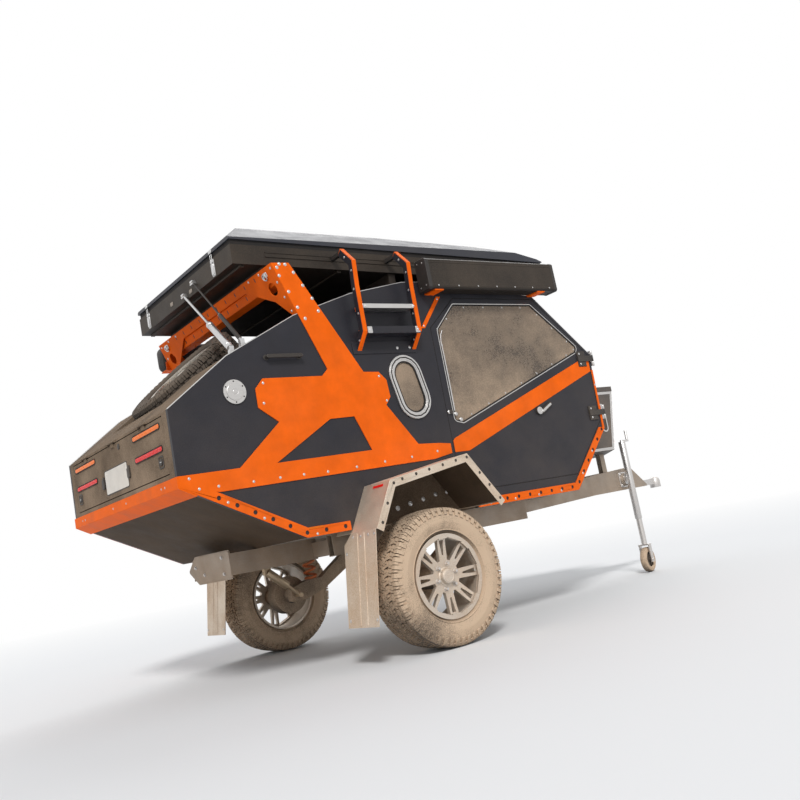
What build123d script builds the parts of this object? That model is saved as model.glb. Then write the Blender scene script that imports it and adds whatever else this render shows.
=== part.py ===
from build123d import *
import math
import os

os.makedirs("parts", exist_ok=True)

# Off-road teardrop trailer, millimetres. +X runs forward to the coupling, +Y to the
# left, +Z up. The floor is z = 0 and the origin lies under the middle of the length.
# Lengths along X in the tables are measured forward from the wheels' axle line.

# Overall places
TAIL_END = -1404.0          # rearmost point from the axle line
COUPLING_END = 3392.0       # foremost point from the axle line
AXLE_X = -(TAIL_END + COUPLING_END) / 2
BODY_HALF = 850.0           # centre plane to the outside of a side panel
WALL = 25.0                 # side, floor, roof and nose panel thickness
PLATE = 6.0                 # thickness of the frame plates on the sides
SHEET = 4.0                 # folded aluminium sheet
SEAT = 0.3                  # gap left where two pieces rest on each other
GAP = 5.0                   # clearance round a moving piece

# Wheels
TYRE_R = 388.0
TYRE_W = 265.0
RIM_R = 236.0
WHEEL_FACE_Y = 1102.0       # outside of the tyre from the centre plane
WHEEL_Y = WHEEL_FACE_Y - TYRE_W / 2
SPINDLE_R = 22.0
RUNNING = 0.06              # radial clearance of a turning fit

# Body outline as seen from the right: corner, x from the axle, z from the floor
BODY = {
    "belly_rear": (-720, 735),
    "tail_low": (-1392, 1084),
    "tail_top": (-1392, 1485),
    "deck_bend": (-1025, 1749),
    "deck_top": (-573, 1972),
    "roof_rear": (-156, 2108),
    "roof_mid": (244, 2186),
    "roof_peak": (430, 2192),
    "roof_front": (1368, 2110),
    "nose_top": (1839, 1680),
    "nose_low": (1823, 1133),
    "belly_front": (1430, 735),
}
CORNERS = list(BODY)

# Sign and name of each side: outward runs along sign * Y
SIDES = [("right", -1), ("left", 1)]


def upright(y):
    """Plane across the body at y; its own x and y are x from the axle and z."""
    return Plane(origin=(AXLE_X, y, 0), x_dir=(1, 0, 0), z_dir=(0, -1, 0))


def station(x):
    """Cross-section plane at x from the axle; its own x and y are y and z."""
    return Plane(origin=(AXLE_X + x, 0, 0), x_dir=(0, 1, 0), z_dir=(1, 0, 0))


def level(z):
    """Horizontal plane at z; its own x and y are x from the axle and y."""
    return Plane(origin=(AXLE_X, 0, z))


def outline(points, mode=Mode.ADD):
    """Closed straight-sided face in the present sketch, at the points' own places."""
    return Polygon(*points, align=None, mode=mode)


def save(builder, name):
    builder.part.label = name
    export_step(builder.part, f"parts/{name}.step")


def inset_corners(thickness):
    """Body corners moved inward by one panel thickness, mitred at each corner."""
    points = [Vector(*BODY[name]) for name in CORNERS]
    inner = {}
    for i, name in enumerate(CORNERS):
        before = (points[i] - points[i - 1]).normalized()
        after = (points[(i + 1) % len(points)] - points[i]).normalized()
        normal_a = Vector(before.Y, -before.X)
        normal_b = Vector(after.Y, -after.X)
        mitre = normal_a + normal_b
        move = mitre * (2 * thickness / mitre.dot(mitre))
        inner[name] = (points[i].X + move.X, points[i].Y + move.Y)
    return inner


INNER = inset_corners(WALL)


def panel_outline(first, last):
    """Outline of the body panel that runs from one corner to another."""
    i, j = CORNERS.index(first), CORNERS.index(last)
    names = CORNERS[i:j + 1] if i <= j else CORNERS[i:] + CORNERS[:j + 1]
    return [BODY[n] for n in names] + [INNER[n] for n in reversed(names)]


# Openings in the side, x and z
DOOR = [(411, 930), (475, 845), (1457, 845), (1801, 1194), (1815, 1672),
        (1362, 2085), (640, 2085), (411, 1888)]
DOOR_WINDOW = [(460, 1288), (530, 1270), (1695, 1692), (1722, 1732), (1336, 2048),
               (628, 2048), (460, 1880)]
WINDOW_R = 28.0
PANE = 6.0
PORTHOLE = (155, 1520)      # centre
PORTHOLE_LONG = 345.0
PORTHOLE_WIDE = 190.0
PORTHOLE_LEAN = 12.0        # degrees that its top leans to the rear
PORTHOLE_RIM = 28.0

# Wheel arch: the fender's outline, also cut from side and floor
ARCH = [(-440, 716), (-300, 962), (283, 1052), (507, 746)]
TUB_Y = 690.0               # inner wall of the tub from the centre plane
FLANGE_W = 46.0             # outer edge band of the fender

SIDE_IN = BODY_HALF - WALL


def arch_mask():
    """Arch outline carried down past the belly."""
    return [(ARCH[0][0], 700)] + ARCH + [(ARCH[-1][0], 700)]


def body_top(x):
    """Height of the body's upper edge at x from the axle."""
    tops = [BODY[n] for n in CORNERS[CORNERS.index("tail_top"):CORNERS.index("nose_top") + 1]]
    for (x0, z0), (x1, z1) in zip(tops, tops[1:]):
        if x0 <= x <= x1:
            return z0 + (z1 - z0) * (x - x0) / (x1 - x0)


# Barrel hinges: each has two fixed knuckles with the pin, and one on the moving piece
END_SHARE = 0.3             # share of a hinge's length in each fixed knuckle
KNUCKLE_GAP = 1.0           # between the ends of neighbouring knuckles


def fixed_knuckles(plane_at, low, high, knuckle_r, pin_r):
    """Fixed knuckles and pin between two places along the hinge's axis."""
    end = END_SHARE * (high - low)
    with BuildPart() as barrels:
        for start in (low, high - end):
            with BuildSketch(plane_at(start)):
                Circle(knuckle_r)
            extrude(amount=end)
        with BuildSketch(plane_at(low)):
            Circle(pin_r)
        extrude(amount=high - low)
    return barrels.part


def moving_knuckle(plane_at, low, high, knuckle_r, pin_r):
    """Middle knuckle with the pin's bore."""
    start = low + END_SHARE * (high - low) + KNUCKLE_GAP
    with BuildPart() as barrel:
        with BuildSketch(plane_at(start)):
            Circle(knuckle_r)
            Circle(pin_r + RUNNING, mode=Mode.SUBTRACT)
        extrude(amount=low + high - 2 * start)
    return barrel.part


def pin_space(plane_at, low, high, pin_r):
    """Room of the pin, to be cut from what reaches into it."""
    with BuildPart() as space:
        with BuildSketch(plane_at(low)):
            Circle(pin_r + RUNNING)
        extrude(amount=high - low)
    return space.part


def cross_axis(x, z):
    """Planes square to a hinge's axis that lies across the trailer at x and z."""
    return lambda y: Plane(origin=(AXLE_X + x, y, z), x_dir=(1, 0, 0), z_dir=(0, 1, 0))


# Side panels with door opening, porthole and wheel arch
for name, sign in SIDES:
    with BuildPart() as side_panel:
        with BuildSketch(upright(sign * BODY_HALF)):
            outline(list(BODY.values()))
            offset(outline(DOOR, Mode.PRIVATE), amount=GAP, kind=Kind.INTERSECTION, mode=Mode.SUBTRACT)
            outline(arch_mask(), Mode.SUBTRACT)
            with Locations(PORTHOLE):
                SlotOverall(PORTHOLE_LONG, PORTHOLE_WIDE, rotation=90 + PORTHOLE_LEAN,
                            mode=Mode.SUBTRACT)
        extrude(amount=sign * WALL)
    save(side_panel, f"side_{name}")

# Panels between the sides: node, first corner, last corner
PANELS = [
    ("roof_skin", "roof_rear", "nose_top"),
    ("nose_panel", "nose_top", "belly_front"),
]
for name, first, last in PANELS:
    with BuildPart() as panel:
        with BuildSketch(upright(0)):
            outline(panel_outline(first, last))
        extrude(amount=SIDE_IN, both=True)
    save(panel, name)

# Floor with the tubs' places cut out
with BuildPart() as floor_pan:
    with BuildSketch(upright(0)):
        outline(panel_outline("belly_front", "belly_rear"))
    extrude(amount=SIDE_IN, both=True)
    with BuildSketch(level(BODY["belly_rear"][1] - 1)):
        for _, sign in SIDES:
            with Locations(((ARCH[0][0] + ARCH[-1][0]) / 2, sign * (TUB_Y + SIDE_IN) / 2)):
                Rectangle(ARCH[-1][0] - ARCH[0][0], SIDE_IN - TUB_Y)
    extrude(amount=WALL + 2, mode=Mode.SUBTRACT)
save(floor_pan, "floor_pan")

# Tail: sloping pan and the upright face round the rear flap
FLAP_HALF = BODY_HALF - 92
FLAP_LOW = 1170.0
FLAP_TOP = 1466.0
FLAP_HINGES = [(-560, -440), (-60, 60), (440, 560)]   # y of each hinge's ends
FLAP_KNUCKLE_R = 6.0
FLAP_PIN_R = 3.0
flap_x = BODY["tail_low"][0]
flap_axis_z = FLAP_TOP + 2 * GAP
flap_axis = cross_axis(flap_x - FLAP_KNUCKLE_R, flap_axis_z)
with BuildPart() as tail_shell:
    with BuildSketch(upright(0)):
        outline(panel_outline("belly_rear", "tail_top"))
    extrude(amount=SIDE_IN, both=True)
    with BuildSketch(station(BODY["tail_low"][0] - 1)):
        with Locations((0, (FLAP_LOW + FLAP_TOP) / 2)):
            Rectangle(2 * (FLAP_HALF + GAP), FLAP_TOP - FLAP_LOW + 2 * GAP)
    extrude(amount=WALL + 2, mode=Mode.SUBTRACT)
    for low, high in FLAP_HINGES:
        end = END_SHARE * (high - low)
        with BuildSketch(station(flap_x)):
            for y in (low + end / 2, high - end / 2):
                with Locations((y, flap_axis_z)):
                    Rectangle(end, 2 * (FLAP_TOP + GAP - flap_axis_z) + 2 * FLAP_KNUCKLE_R + 4)
        extrude(amount=-FLAP_KNUCKLE_R)
        add(fixed_knuckles(flap_axis, low, high, FLAP_KNUCKLE_R, FLAP_PIN_R))
save(tail_shell, "tail_shell")

# Spare wheel lying in a well of the rear deck, its outer face tipped to the rear
SPARE_FACE = (-930, 1885)   # centre of the outer face, x and z
SPARE_TILT = 38.0           # degrees from level
WELL_HALF = TYRE_R + 25
WELL_DROP = 30.0            # well floor below the tyre
POST_R = 55.0               # post that carries the spare wheel
DISC_IN = TYRE_W * 0.43 - 60          # wheel disc's inner face from the wheel's middle
DISC_T = 26.0
DISC_BORE = 30.0
spare_disc = TYRE_W / 2 - DISC_IN     # the same face below the spare's outer face
tilt = math.radians(SPARE_TILT)
spare_axis = Vector(-math.sin(tilt), 0, math.cos(tilt))
spare_along = Vector(math.cos(tilt), 0, math.sin(tilt))


def spare_plane(depth):
    """Plane square to the spare wheel's axis, depth below its outer face."""
    x, z = SPARE_FACE
    origin = Vector(AXLE_X + x, 0, z) - spare_axis * depth
    return Plane(origin=origin, x_dir=spare_along, z_dir=spare_axis)


with BuildPart() as well_space:
    with BuildSketch(spare_plane(TYRE_W + WELL_DROP)):
        Rectangle(2 * WELL_HALF, 2 * WELL_HALF)
    extrude(amount=2 * TYRE_W)

with BuildPart() as rear_deck:
    with BuildSketch(upright(0)):
        outline(panel_outline("tail_top", "roof_rear"))
    extrude(amount=SIDE_IN, both=True)
    add(well_space.part, mode=Mode.SUBTRACT)
save(rear_deck, "rear_deck")

with BuildPart() as spare_well:
    with BuildSketch(spare_plane(TYRE_W + WELL_DROP + SHEET)):
        Rectangle(2 * (WELL_HALF + SHEET), 2 * (WELL_HALF + SHEET))
    extrude(amount=2 * TYRE_W)
    add(well_space.part, mode=Mode.SUBTRACT)
    with BuildSketch(upright(0)):
        outline([INNER["tail_top"], INNER["deck_bend"], INNER["deck_top"], INNER["roof_rear"],
                 (0, 900), (-1500, 900)])
    extrude(amount=BODY_HALF, both=True, mode=Mode.INTERSECT)
    with BuildSketch(spare_plane(TYRE_W + WELL_DROP)):
        Circle(POST_R)
    extrude(amount=TYRE_W + WELL_DROP - SEAT - spare_disc)
    with BuildSketch(spare_plane(spare_disc + SEAT)):
        Circle(DISC_BORE - SEAT)
    extrude(amount=DISC_T + 12)
save(spare_well, "spare_well")


TYRE_FLATS = 48             # the one below is the contact patch
# Tyre from bead to bead: share of the half width, radius
BULGE_R = (RIM_R + TYRE_R) / 2      # where the tyre is widest
TYRE_OUTER = [(-0.74, RIM_R), (-1, BULGE_R), (-0.95, TYRE_R - 33), (-0.8, TYRE_R),
              (0.8, TYRE_R), (0.95, TYRE_R - 33), (1, BULGE_R), (0.74, RIM_R)]
TYRE_INNER = [(-0.62, RIM_R), (-0.91, BULGE_R), (-0.8, TYRE_R - 24), (0.8, TYRE_R - 24),
              (0.91, BULGE_R), (0.62, RIM_R)]


def ring(x, radius):
    """Regular polygon round the X axis at x, with a flat below."""
    with BuildSketch(Plane(origin=(x, 0, 0), x_dir=(0, 1, 0), z_dir=(1, 0, 0))) as section:
        RegularPolygon(radius, TYRE_FLATS, major_radius=False, rotation=180 / TYRE_FLATS)
    return section.sketch


def make_tyre():
    """Road tyre about the X axis, centred on the origin."""
    half = TYRE_W / 2
    with BuildPart() as tyre:
        loft([ring(share * half, radius) for share, radius in TYRE_OUTER], ruled=True)
        loft([ring(share * half, radius) for share, radius in TYRE_INNER], ruled=True,
             mode=Mode.SUBTRACT)
        extrude(ring(0, RIM_R), amount=TYRE_W, both=True, mode=Mode.SUBTRACT)
    return tyre.part


BEAD_GAP = 0.5              # rim barrel under the tyre bead
RIM_T = 14.0
LIP_T = 7.0                 # barrel's thickness at its rolled outer lip
SPOKES = 8
POCKET_R = RIM_R - 28       # outer end of the openings between the spokes


def make_rim():
    """Alloy wheel about the X axis, outer face towards +X, with eight double spokes."""
    half = TYRE_W * 0.43
    barrel = RIM_R - BEAD_GAP
    with BuildPart() as rim:
        with BuildSketch(Plane.XY):
            outline([(-half, barrel), (-half, barrel - RIM_T), (half, barrel - RIM_T), (half, barrel)])
            outline([(DISC_IN, DISC_BORE), (DISC_IN + DISC_T, DISC_BORE), (DISC_IN + DISC_T, 62),
                     (half - 24, POCKET_R - 30), (half - 14, barrel - RIM_T / 2),
                     (half - 40, barrel - RIM_T / 2), (DISC_IN, 70)])
            outline([(half - LIP_T, barrel - 2 * RIM_T), (half, barrel - 2 * RIM_T),
                     (half, barrel - 1), (half - LIP_T, barrel - 1)])
        revolve(axis=Axis.X)
        with BuildSketch(Plane(origin=(half - 80, 0, 0), x_dir=(0, 1, 0), z_dir=(1, 0, 0))):
            with PolarLocations(0, SPOKES, start_angle=180 / SPOKES):
                outline([(92, -9), (POCKET_R, -0.26 * POCKET_R), (POCKET_R, 0.26 * POCKET_R), (92, 9)])
            with PolarLocations(0, SPOKES):
                outline([(118, -5), (POCKET_R - 8, -14), (POCKET_R - 8, 14), (118, 5)])
        extrude(amount=100, mode=Mode.SUBTRACT)
    return rim.part


def place(solid, plane, name):
    """Write a solid that was made about the origin, moved onto a plane."""
    moved = plane.location * solid
    moved.label = name
    export_step(moved, f"parts/{name}.step")


for name, sign in SIDES:
    hub = Plane(origin=(AXLE_X, sign * WHEEL_Y, TYRE_R), x_dir=(0, sign, 0), z_dir=(0, 0, 1))
    place(make_tyre(), hub, f"tyre_{name}")
    place(make_rim(), hub, f"rim_{name}")

spare_hub = Plane(origin=spare_plane(TYRE_W / 2).origin, x_dir=spare_axis, z_dir=(0, 1, 0))
place(make_tyre(), spare_hub, "spare_tyre")
place(make_rim(), spare_hub, "spare_rim")

# Orange frame plates on the sides: bands, X and roll-bar leg, x and z
LEG_TOP_REAR = (-663, 2281)
LEG_TOP_FRONT = (-546, 2285)
FRAME = [LEG_TOP_REAR, LEG_TOP_FRONT, (-166, 1627), (-58, 1622), (-11, 1571), (-5, 1467),
         (-45, 1420), (137, 1169), (300, 1160), (385, 1150), (385, 1090), (244, 1067),
         (-1178, 1038), (-1392, 1084), (-1392, 1141), (-1047, 1148), (-775, 1372), (-887, 1457),
         (-886, 1562), (-834, 1617), (-452, 1615), (-410, 1654)]
FRAME_HOLE = [(-828, 1152), (-449, 1365), (-285, 1368), (-203, 1164)]
STRIP_W = 52.0              # perforated edge strips
STRIP_REAR = [(-1392, 1084), (-720, 735), (-437, 735), (-437, 735 + STRIP_W),
              (-707, 735 + STRIP_W), (-1200, 735 + STRIP_W + 256)]
STRIP_FRONT = [(516, 735), (1430, 735), (1823, 1133), (1833, 1560), (1818, 1560),
               (1806, 1142), (1766, 1144), (1412, 735 + STRIP_W), (484, 735 + STRIP_W)]
HOLE_R = 12.0
HOLE_PITCH = 107.0
# Rows of holes in the strips: first and last centre
HOLE_ROWS = [((-1191, 1008), (-717, 762)), ((-596, 761), (-472, 761)),
             ((560, 761), (1372, 761)), ((1450, 787), (1790, 1128))]


def row_of_holes(first, last):
    """Centres from first to last, at the pitch that fits best."""
    start, run = Vector(*first), Vector(*last) - Vector(*first)
    steps = round(run.length / HOLE_PITCH)
    return [start + run * (k / steps) for k in range(steps + 1)]


for name, sign in SIDES:
    with BuildPart() as frame_plate:
        with BuildSketch(upright(sign * BODY_HALF)):
            outline(FRAME)
            outline(STRIP_REAR)
            outline(STRIP_FRONT)
            outline(FRAME_HOLE, Mode.SUBTRACT)
            for first, last in HOLE_ROWS:
                with Locations(*row_of_holes(first, last)):
                    Circle(HOLE_R, mode=Mode.SUBTRACT)
        extrude(amount=-sign * PLATE)
    save(frame_plate, f"frame_{name}")

# Roll bar's cross beam: a leaning folded channel between the legs, with gussets
BEAM_HALF = BODY_HALF
BEAM_H = 114.0
BEAM_D = 90.0
STRIP_H = 58.0              # upper strip; the lower one stands back from it
STRIP_BACK = 16.0
# Level flanges: below the top, behind the upper strip, depth
BEAM_FLANGES = [(SHEET, 0, BEAM_D), (STRIP_H, 0, STRIP_BACK + SHEET),
                (BEAM_H, STRIP_BACK, BEAM_D - STRIP_BACK)]
GUSSET_LONG = 380.0         # along the upper strip from the beam's end
GUSSET_MID = (138, 200)     # bend of the gusset's edge: from the end, below the top
GUSSET_FOOT = (44, 318)     # its lower corner
LIGHTENING = (98, 132)      # centre of its hole
LIGHTENING_R = 39.0
SLOT_PITCH = 0.15625 * BEAM_HALF
SLOTS_HIGH = (-28.5, 10)    # middle and number of the slots in the upper strip
SLOTS_LOW = (-35.0, 9)
SLOT_LONG = 26.0
SLOT_W = 10.0
lean = Vector(LEG_TOP_REAR[0] + 410, 0, LEG_TOP_REAR[1] - 1654).normalized()
beam_plane = Plane(origin=(AXLE_X + LEG_TOP_REAR[0], 0, LEG_TOP_REAR[1]),
                   x_dir=(0, 1, 0), z_dir=Vector(0, 1, 0).cross(lean))


def gusset(sign):
    """Edge of a gusset from the upper strip to its foot."""
    rows = [(GUSSET_LONG, STRIP_H), GUSSET_MID, GUSSET_FOOT, (0, GUSSET_FOOT[1])]
    return [(sign * (BEAM_HALF - inward), -below) for inward, below in rows]


def slot_row(row, below):
    """Row of slots across the beam, below its top."""
    middle, count = row
    with Locations((middle, -below)):
        with GridLocations(SLOT_PITCH, 1, count, 1):
            SlotOverall(SLOT_LONG, SLOT_W, rotation=90, mode=Mode.SUBTRACT)


with BuildPart() as roll_beam:
    with BuildSketch(beam_plane):
        outline([(-BEAM_HALF, 0), (BEAM_HALF, 0)] + gusset(1)[::-1] + gusset(-1))
        for sign in (-1, 1):
            with Locations((sign * (BEAM_HALF - LIGHTENING[0]), -LIGHTENING[1])):
                Circle(LIGHTENING_R, mode=Mode.SUBTRACT)
        slot_row(SLOTS_HIGH, STRIP_H / 2)
    extrude(amount=SHEET)
    with BuildSketch(beam_plane.offset(STRIP_BACK)):
        with Locations((0, -(STRIP_H + BEAM_H) / 2)):
            Rectangle(2 * BEAM_HALF - 180, BEAM_H - STRIP_H)
        slot_row(SLOTS_LOW, (STRIP_H + BEAM_H) / 2)
    extrude(amount=SHEET)
    with BuildSketch(upright(0)):
        for below, back, deep in BEAM_FLANGES:
            x = LEG_TOP_REAR[0] - lean.X * below + lean.Z * back + 2
            z = LEG_TOP_REAR[1] - lean.Z * below - lean.X * back
            outline([(x, z), (x + deep, z), (x + deep, z + SHEET), (x, z + SHEET)])
    extrude(amount=BEAM_HALF - 90, both=True)
save(roll_beam, "roll_beam")

# Folded orange bumper along the foot of the tail
BUMPER_HALF = BODY_HALF + PLATE
with BuildPart() as bumper:
    tail_x, tail_z = BODY["tail_low"]
    with BuildSketch(upright(0)):
        outline([(tail_x, 1141), (tail_x - PLATE, 1141), (tail_x - PLATE, tail_z - 4),
                 (-1308, tail_z - 4 - 50), (-1302, tail_z - 48), (tail_x, tail_z)])
    extrude(amount=BUMPER_HALF, both=True)
save(bumper, "bumper")

# Rear flap with its lamps and blank plate; it swings up about its top edge
with BuildPart() as tail_flap:
    with BuildSketch(station(flap_x)):
        with Locations((0, (FLAP_LOW + FLAP_TOP) / 2)):
            Rectangle(2 * FLAP_HALF, FLAP_TOP - FLAP_LOW)
    extrude(amount=WALL)
    for low, high in FLAP_HINGES:
        arm = high - low - 2 * (END_SHARE * (high - low) + KNUCKLE_GAP)
        with BuildSketch(station(flap_x)):
            with Locations(((low + high) / 2, (FLAP_TOP + flap_axis_z) / 2 - 10)):
                Rectangle(arm, flap_axis_z - FLAP_TOP + 20)
        extrude(amount=-FLAP_KNUCKLE_R)
        add(moving_knuckle(flap_axis, low, high, FLAP_KNUCKLE_R, FLAP_PIN_R))
        add(pin_space(flap_axis, low, high, FLAP_PIN_R), mode=Mode.SUBTRACT)
save(tail_flap, "tail_flap")

LAMP_Z = [1310, 1428]
LAMP_Y = FLAP_HALF - 233    # centre of each lamp bar
LAMP_LONG = 390.0
LAMP_W = 26.0
LAMP_T = 3.0
PLATE_Z = 1267.0
PLATE_LONG = 372.0
PLATE_HIGH = 134.0
PLATE_LAMP = (38, 60)       # width and height of the lamps beside the plate
PLATE_LAMP_Y = 215.0
with BuildPart() as tail_lamps:
    with BuildSketch(station(flap_x)):
        for z in LAMP_Z:
            with Locations((-LAMP_Y, z), (LAMP_Y, z)):
                SlotOverall(LAMP_LONG, LAMP_W)
    extrude(amount=-LAMP_T)
save(tail_lamps, "tail_lamps")

with BuildPart() as number_plate:
    with BuildSketch(station(flap_x)):
        with Locations((0, PLATE_Z)):
            RectangleRounded(PLATE_LONG, PLATE_HIGH, 8)
    extrude(amount=-2)
    with BuildSketch(station(flap_x)):
        with Locations((-PLATE_LAMP_Y, PLATE_Z), (PLATE_LAMP_Y, PLATE_Z)):
            Rectangle(*PLATE_LAMP)
    extrude(amount=TAIL_END - flap_x)
save(number_plate, "plate_and_lamps")

# Fenders with their tubs
PLUG_R = 9.0
PLUGS = [(-277, 941), (-215, 957), (-113, 974), (-16, 989), (87, 1004), (189, 1019), (276, 1030),
         (352, 930), (410, 852), (473, 766), (-342, 838), (-396, 741)]


def arch_strip(thickness):
    """Folded strip along the inside of the fender's outline."""
    pts = [Vector(*p) for p in ARCH]
    inner = []
    for i, point in enumerate(pts):
        steps = []
        if i > 0:
            steps.append((point - pts[i - 1]).normalized())
        if i < len(pts) - 1:
            steps.append((pts[i + 1] - point).normalized())
        normals = [Vector(s.Y, -s.X) for s in steps]
        mitre = normals[0] + normals[-1]
        inner.append(point + mitre * (2 * thickness / mitre.dot(mitre)))
    return [(p.X, p.Y) for p in pts] + [(p.X, p.Y) for p in reversed(inner)]


for name, sign in SIDES:
    with BuildPart() as fender:
        with BuildSketch(upright(sign * TUB_Y)):
            outline(arch_strip(SHEET))
        extrude(amount=-sign * (WHEEL_FACE_Y - TUB_Y))
        with BuildSketch(upright(sign * WHEEL_FACE_Y)):
            outline(arch_strip(FLANGE_W))
            for plug in PLUGS:
                with Locations(plug):
                    Circle(PLUG_R, mode=Mode.SUBTRACT)
        extrude(amount=sign * SHEET)
        with BuildSketch(upright(sign * TUB_Y)):
            outline(ARCH)
        extrude(amount=-sign * SHEET)
    save(fender, f"fender_{name}")

# Mudflaps behind both wheels, swept a little to the rear
FLAP_LONG = 508.0
FLAP_SWEEP = math.radians(9)
FLAP_IN = BODY_HALF - 72    # inner edge from the centre plane
FLAP_CORNER = (BODY_HALF + 4, 62)     # cut corner: its top's place, its height
flap_up = Vector(math.sin(FLAP_SWEEP), 0, math.cos(FLAP_SWEEP))
mudflap_plane = Plane(origin=(AXLE_X + ARCH[0][0] - SEAT, 0, ARCH[0][1]), x_dir=(0, 1, 0),
                      z_dir=Vector(0, 1, 0).cross(flap_up))
with BuildPart() as mudflaps:
    for _, sign in SIDES:
        with BuildSketch(mudflap_plane):
            outline([(sign * FLAP_CORNER[0], 2), (sign * (WHEEL_FACE_Y - 8), 2),
                     (sign * (WHEEL_FACE_Y - 20), -FLAP_LONG), (sign * (FLAP_IN + 10), -FLAP_LONG),
                     (sign * FLAP_IN, -FLAP_CORNER[1])])
        extrude(amount=-SHEET)
save(mudflaps, "mudflaps")

DOOR_KNUCKLE_R = 8.0
DOOR_PIN_R = 4.0
DOOR_HINGE = (1852.0, BODY_HALF + DOOR_KNUCKLE_R)     # x and distance from the centre plane
DOOR_HINGES = [(1200, 1300), (1590, 1700)]    # low and high end of each hinge
LEAF_REAR = 1700.0
LEAF_LONG = 80.0
LEAF_T = 5.0
FIXED_LEAF_T = 3.0
FIXED_LEAF_W = 50.0


def door_axis(sign):
    x, y = DOOR_HINGE
    return lambda z: Plane(origin=(AXLE_X + x, sign * y, z))


def nose_x(z):
    """Outer face of the nose panel at a height."""
    (x0, z0), (x1, z1) = BODY["nose_low"], BODY["nose_top"]
    return x0 + (x1 - x0) * (z - z0) / (z1 - z0)


# Doors, windows, stripes and handles; the hinges are at the front edge
DOOR_T = WALL - GAP        # clear of the roof and nose panels' ends
STRIPE = [(414, 1092), (530, 1092), (1810, 1552), (1812, 1668), (432, 1180), (414, 1165)]
STRIPE_T = 3.0
for name, sign in SIDES:
    with BuildPart() as door:
        with BuildSketch(upright(sign * BODY_HALF)):
            outline(DOOR)
            pane_hole = offset(outline(DOOR_WINDOW, Mode.PRIVATE), amount=-WINDOW_R,
                               kind=Kind.INTERSECTION, mode=Mode.PRIVATE)
            offset(pane_hole, amount=WINDOW_R, kind=Kind.ARC, mode=Mode.SUBTRACT)
        extrude(amount=sign * DOOR_T)
    save(door, f"door_{name}")

    with BuildPart() as window:
        with BuildSketch(upright(sign * (BODY_HALF - 4))):
            offset(pane_hole, amount=WINDOW_R - SEAT, kind=Kind.ARC)
        extrude(amount=sign * PANE)
    save(window, f"window_{name}")

    with BuildPart() as stripe:
        with BuildSketch(upright(sign * BODY_HALF)):
            outline(STRIPE)
            for low, high in DOOR_HINGES:
                with Locations((LEAF_REAR + LEAF_LONG / 2, (low + high) / 2)):
                    Rectangle(LEAF_LONG + 2, high - low + 2, mode=Mode.SUBTRACT)
        extrude(amount=-sign * STRIPE_T)
    save(stripe, f"door_stripe_{name}")

    with BuildPart() as handle:
        with BuildSketch(upright(sign * BODY_HALF)):
            with Locations((1205, 1300)):
                Circle(26)
            with Locations((1275, 1316)):
                SlotOverall(130, 26, rotation=28)
        extrude(amount=-sign * 16)
        with BuildSketch(upright(sign * BODY_HALF)):
            with Locations((436, 1345)):
                Circle(14)
        extrude(amount=-sign * 12)
        for low, high in DOOR_HINGES:
            axis_x, axis_y = DOOR_HINGE
            end = END_SHARE * (high - low) + KNUCKLE_GAP
            with BuildSketch(upright(sign * BODY_HALF)):
                outline([(LEAF_REAR, low), (LEAF_REAR + LEAF_LONG, low),
                         (LEAF_REAR + LEAF_LONG, high), (LEAF_REAR, high)])
            extrude(amount=-sign * (axis_y - BODY_HALF - SEAT))
            with BuildSketch(upright(sign * (axis_y - SEAT))):
                outline([(LEAF_REAR, low + end), (axis_x, low + end), (axis_x, high - end),
                         (LEAF_REAR, high - end)])
            extrude(amount=-sign * LEAF_T)
            add(moving_knuckle(door_axis(sign), low, high, DOOR_KNUCKLE_R, DOOR_PIN_R))
            add(pin_space(door_axis(sign), low, high, DOOR_PIN_R), mode=Mode.SUBTRACT)
    save(handle, f"door_fittings_{name}")

# Porthole frames, portholes, filler discs and grab handles
with BuildPart() as porthole_frames:
    for _, sign in SIDES:
        with BuildSketch(upright(sign * BODY_HALF)):
            with Locations(PORTHOLE):
                SlotOverall(PORTHOLE_LONG + 2 * PORTHOLE_RIM, PORTHOLE_WIDE + 2 * PORTHOLE_RIM,
                            rotation=90 + PORTHOLE_LEAN)
                SlotOverall(PORTHOLE_LONG - 20, PORTHOLE_WIDE - 20, rotation=90 + PORTHOLE_LEAN,
                            mode=Mode.SUBTRACT)
        extrude(amount=-sign * 10)
save(porthole_frames, "porthole_frames")

with BuildPart() as porthole_panes:
    for _, sign in SIDES:
        with BuildSketch(upright(sign * BODY_HALF)):
            with Locations(PORTHOLE):
                SlotOverall(PORTHOLE_LONG - 2 * SEAT, PORTHOLE_WIDE - 2 * SEAT,
                            rotation=90 + PORTHOLE_LEAN)
        extrude(amount=sign * PANE)
save(porthole_panes, "porthole_panes")

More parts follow.
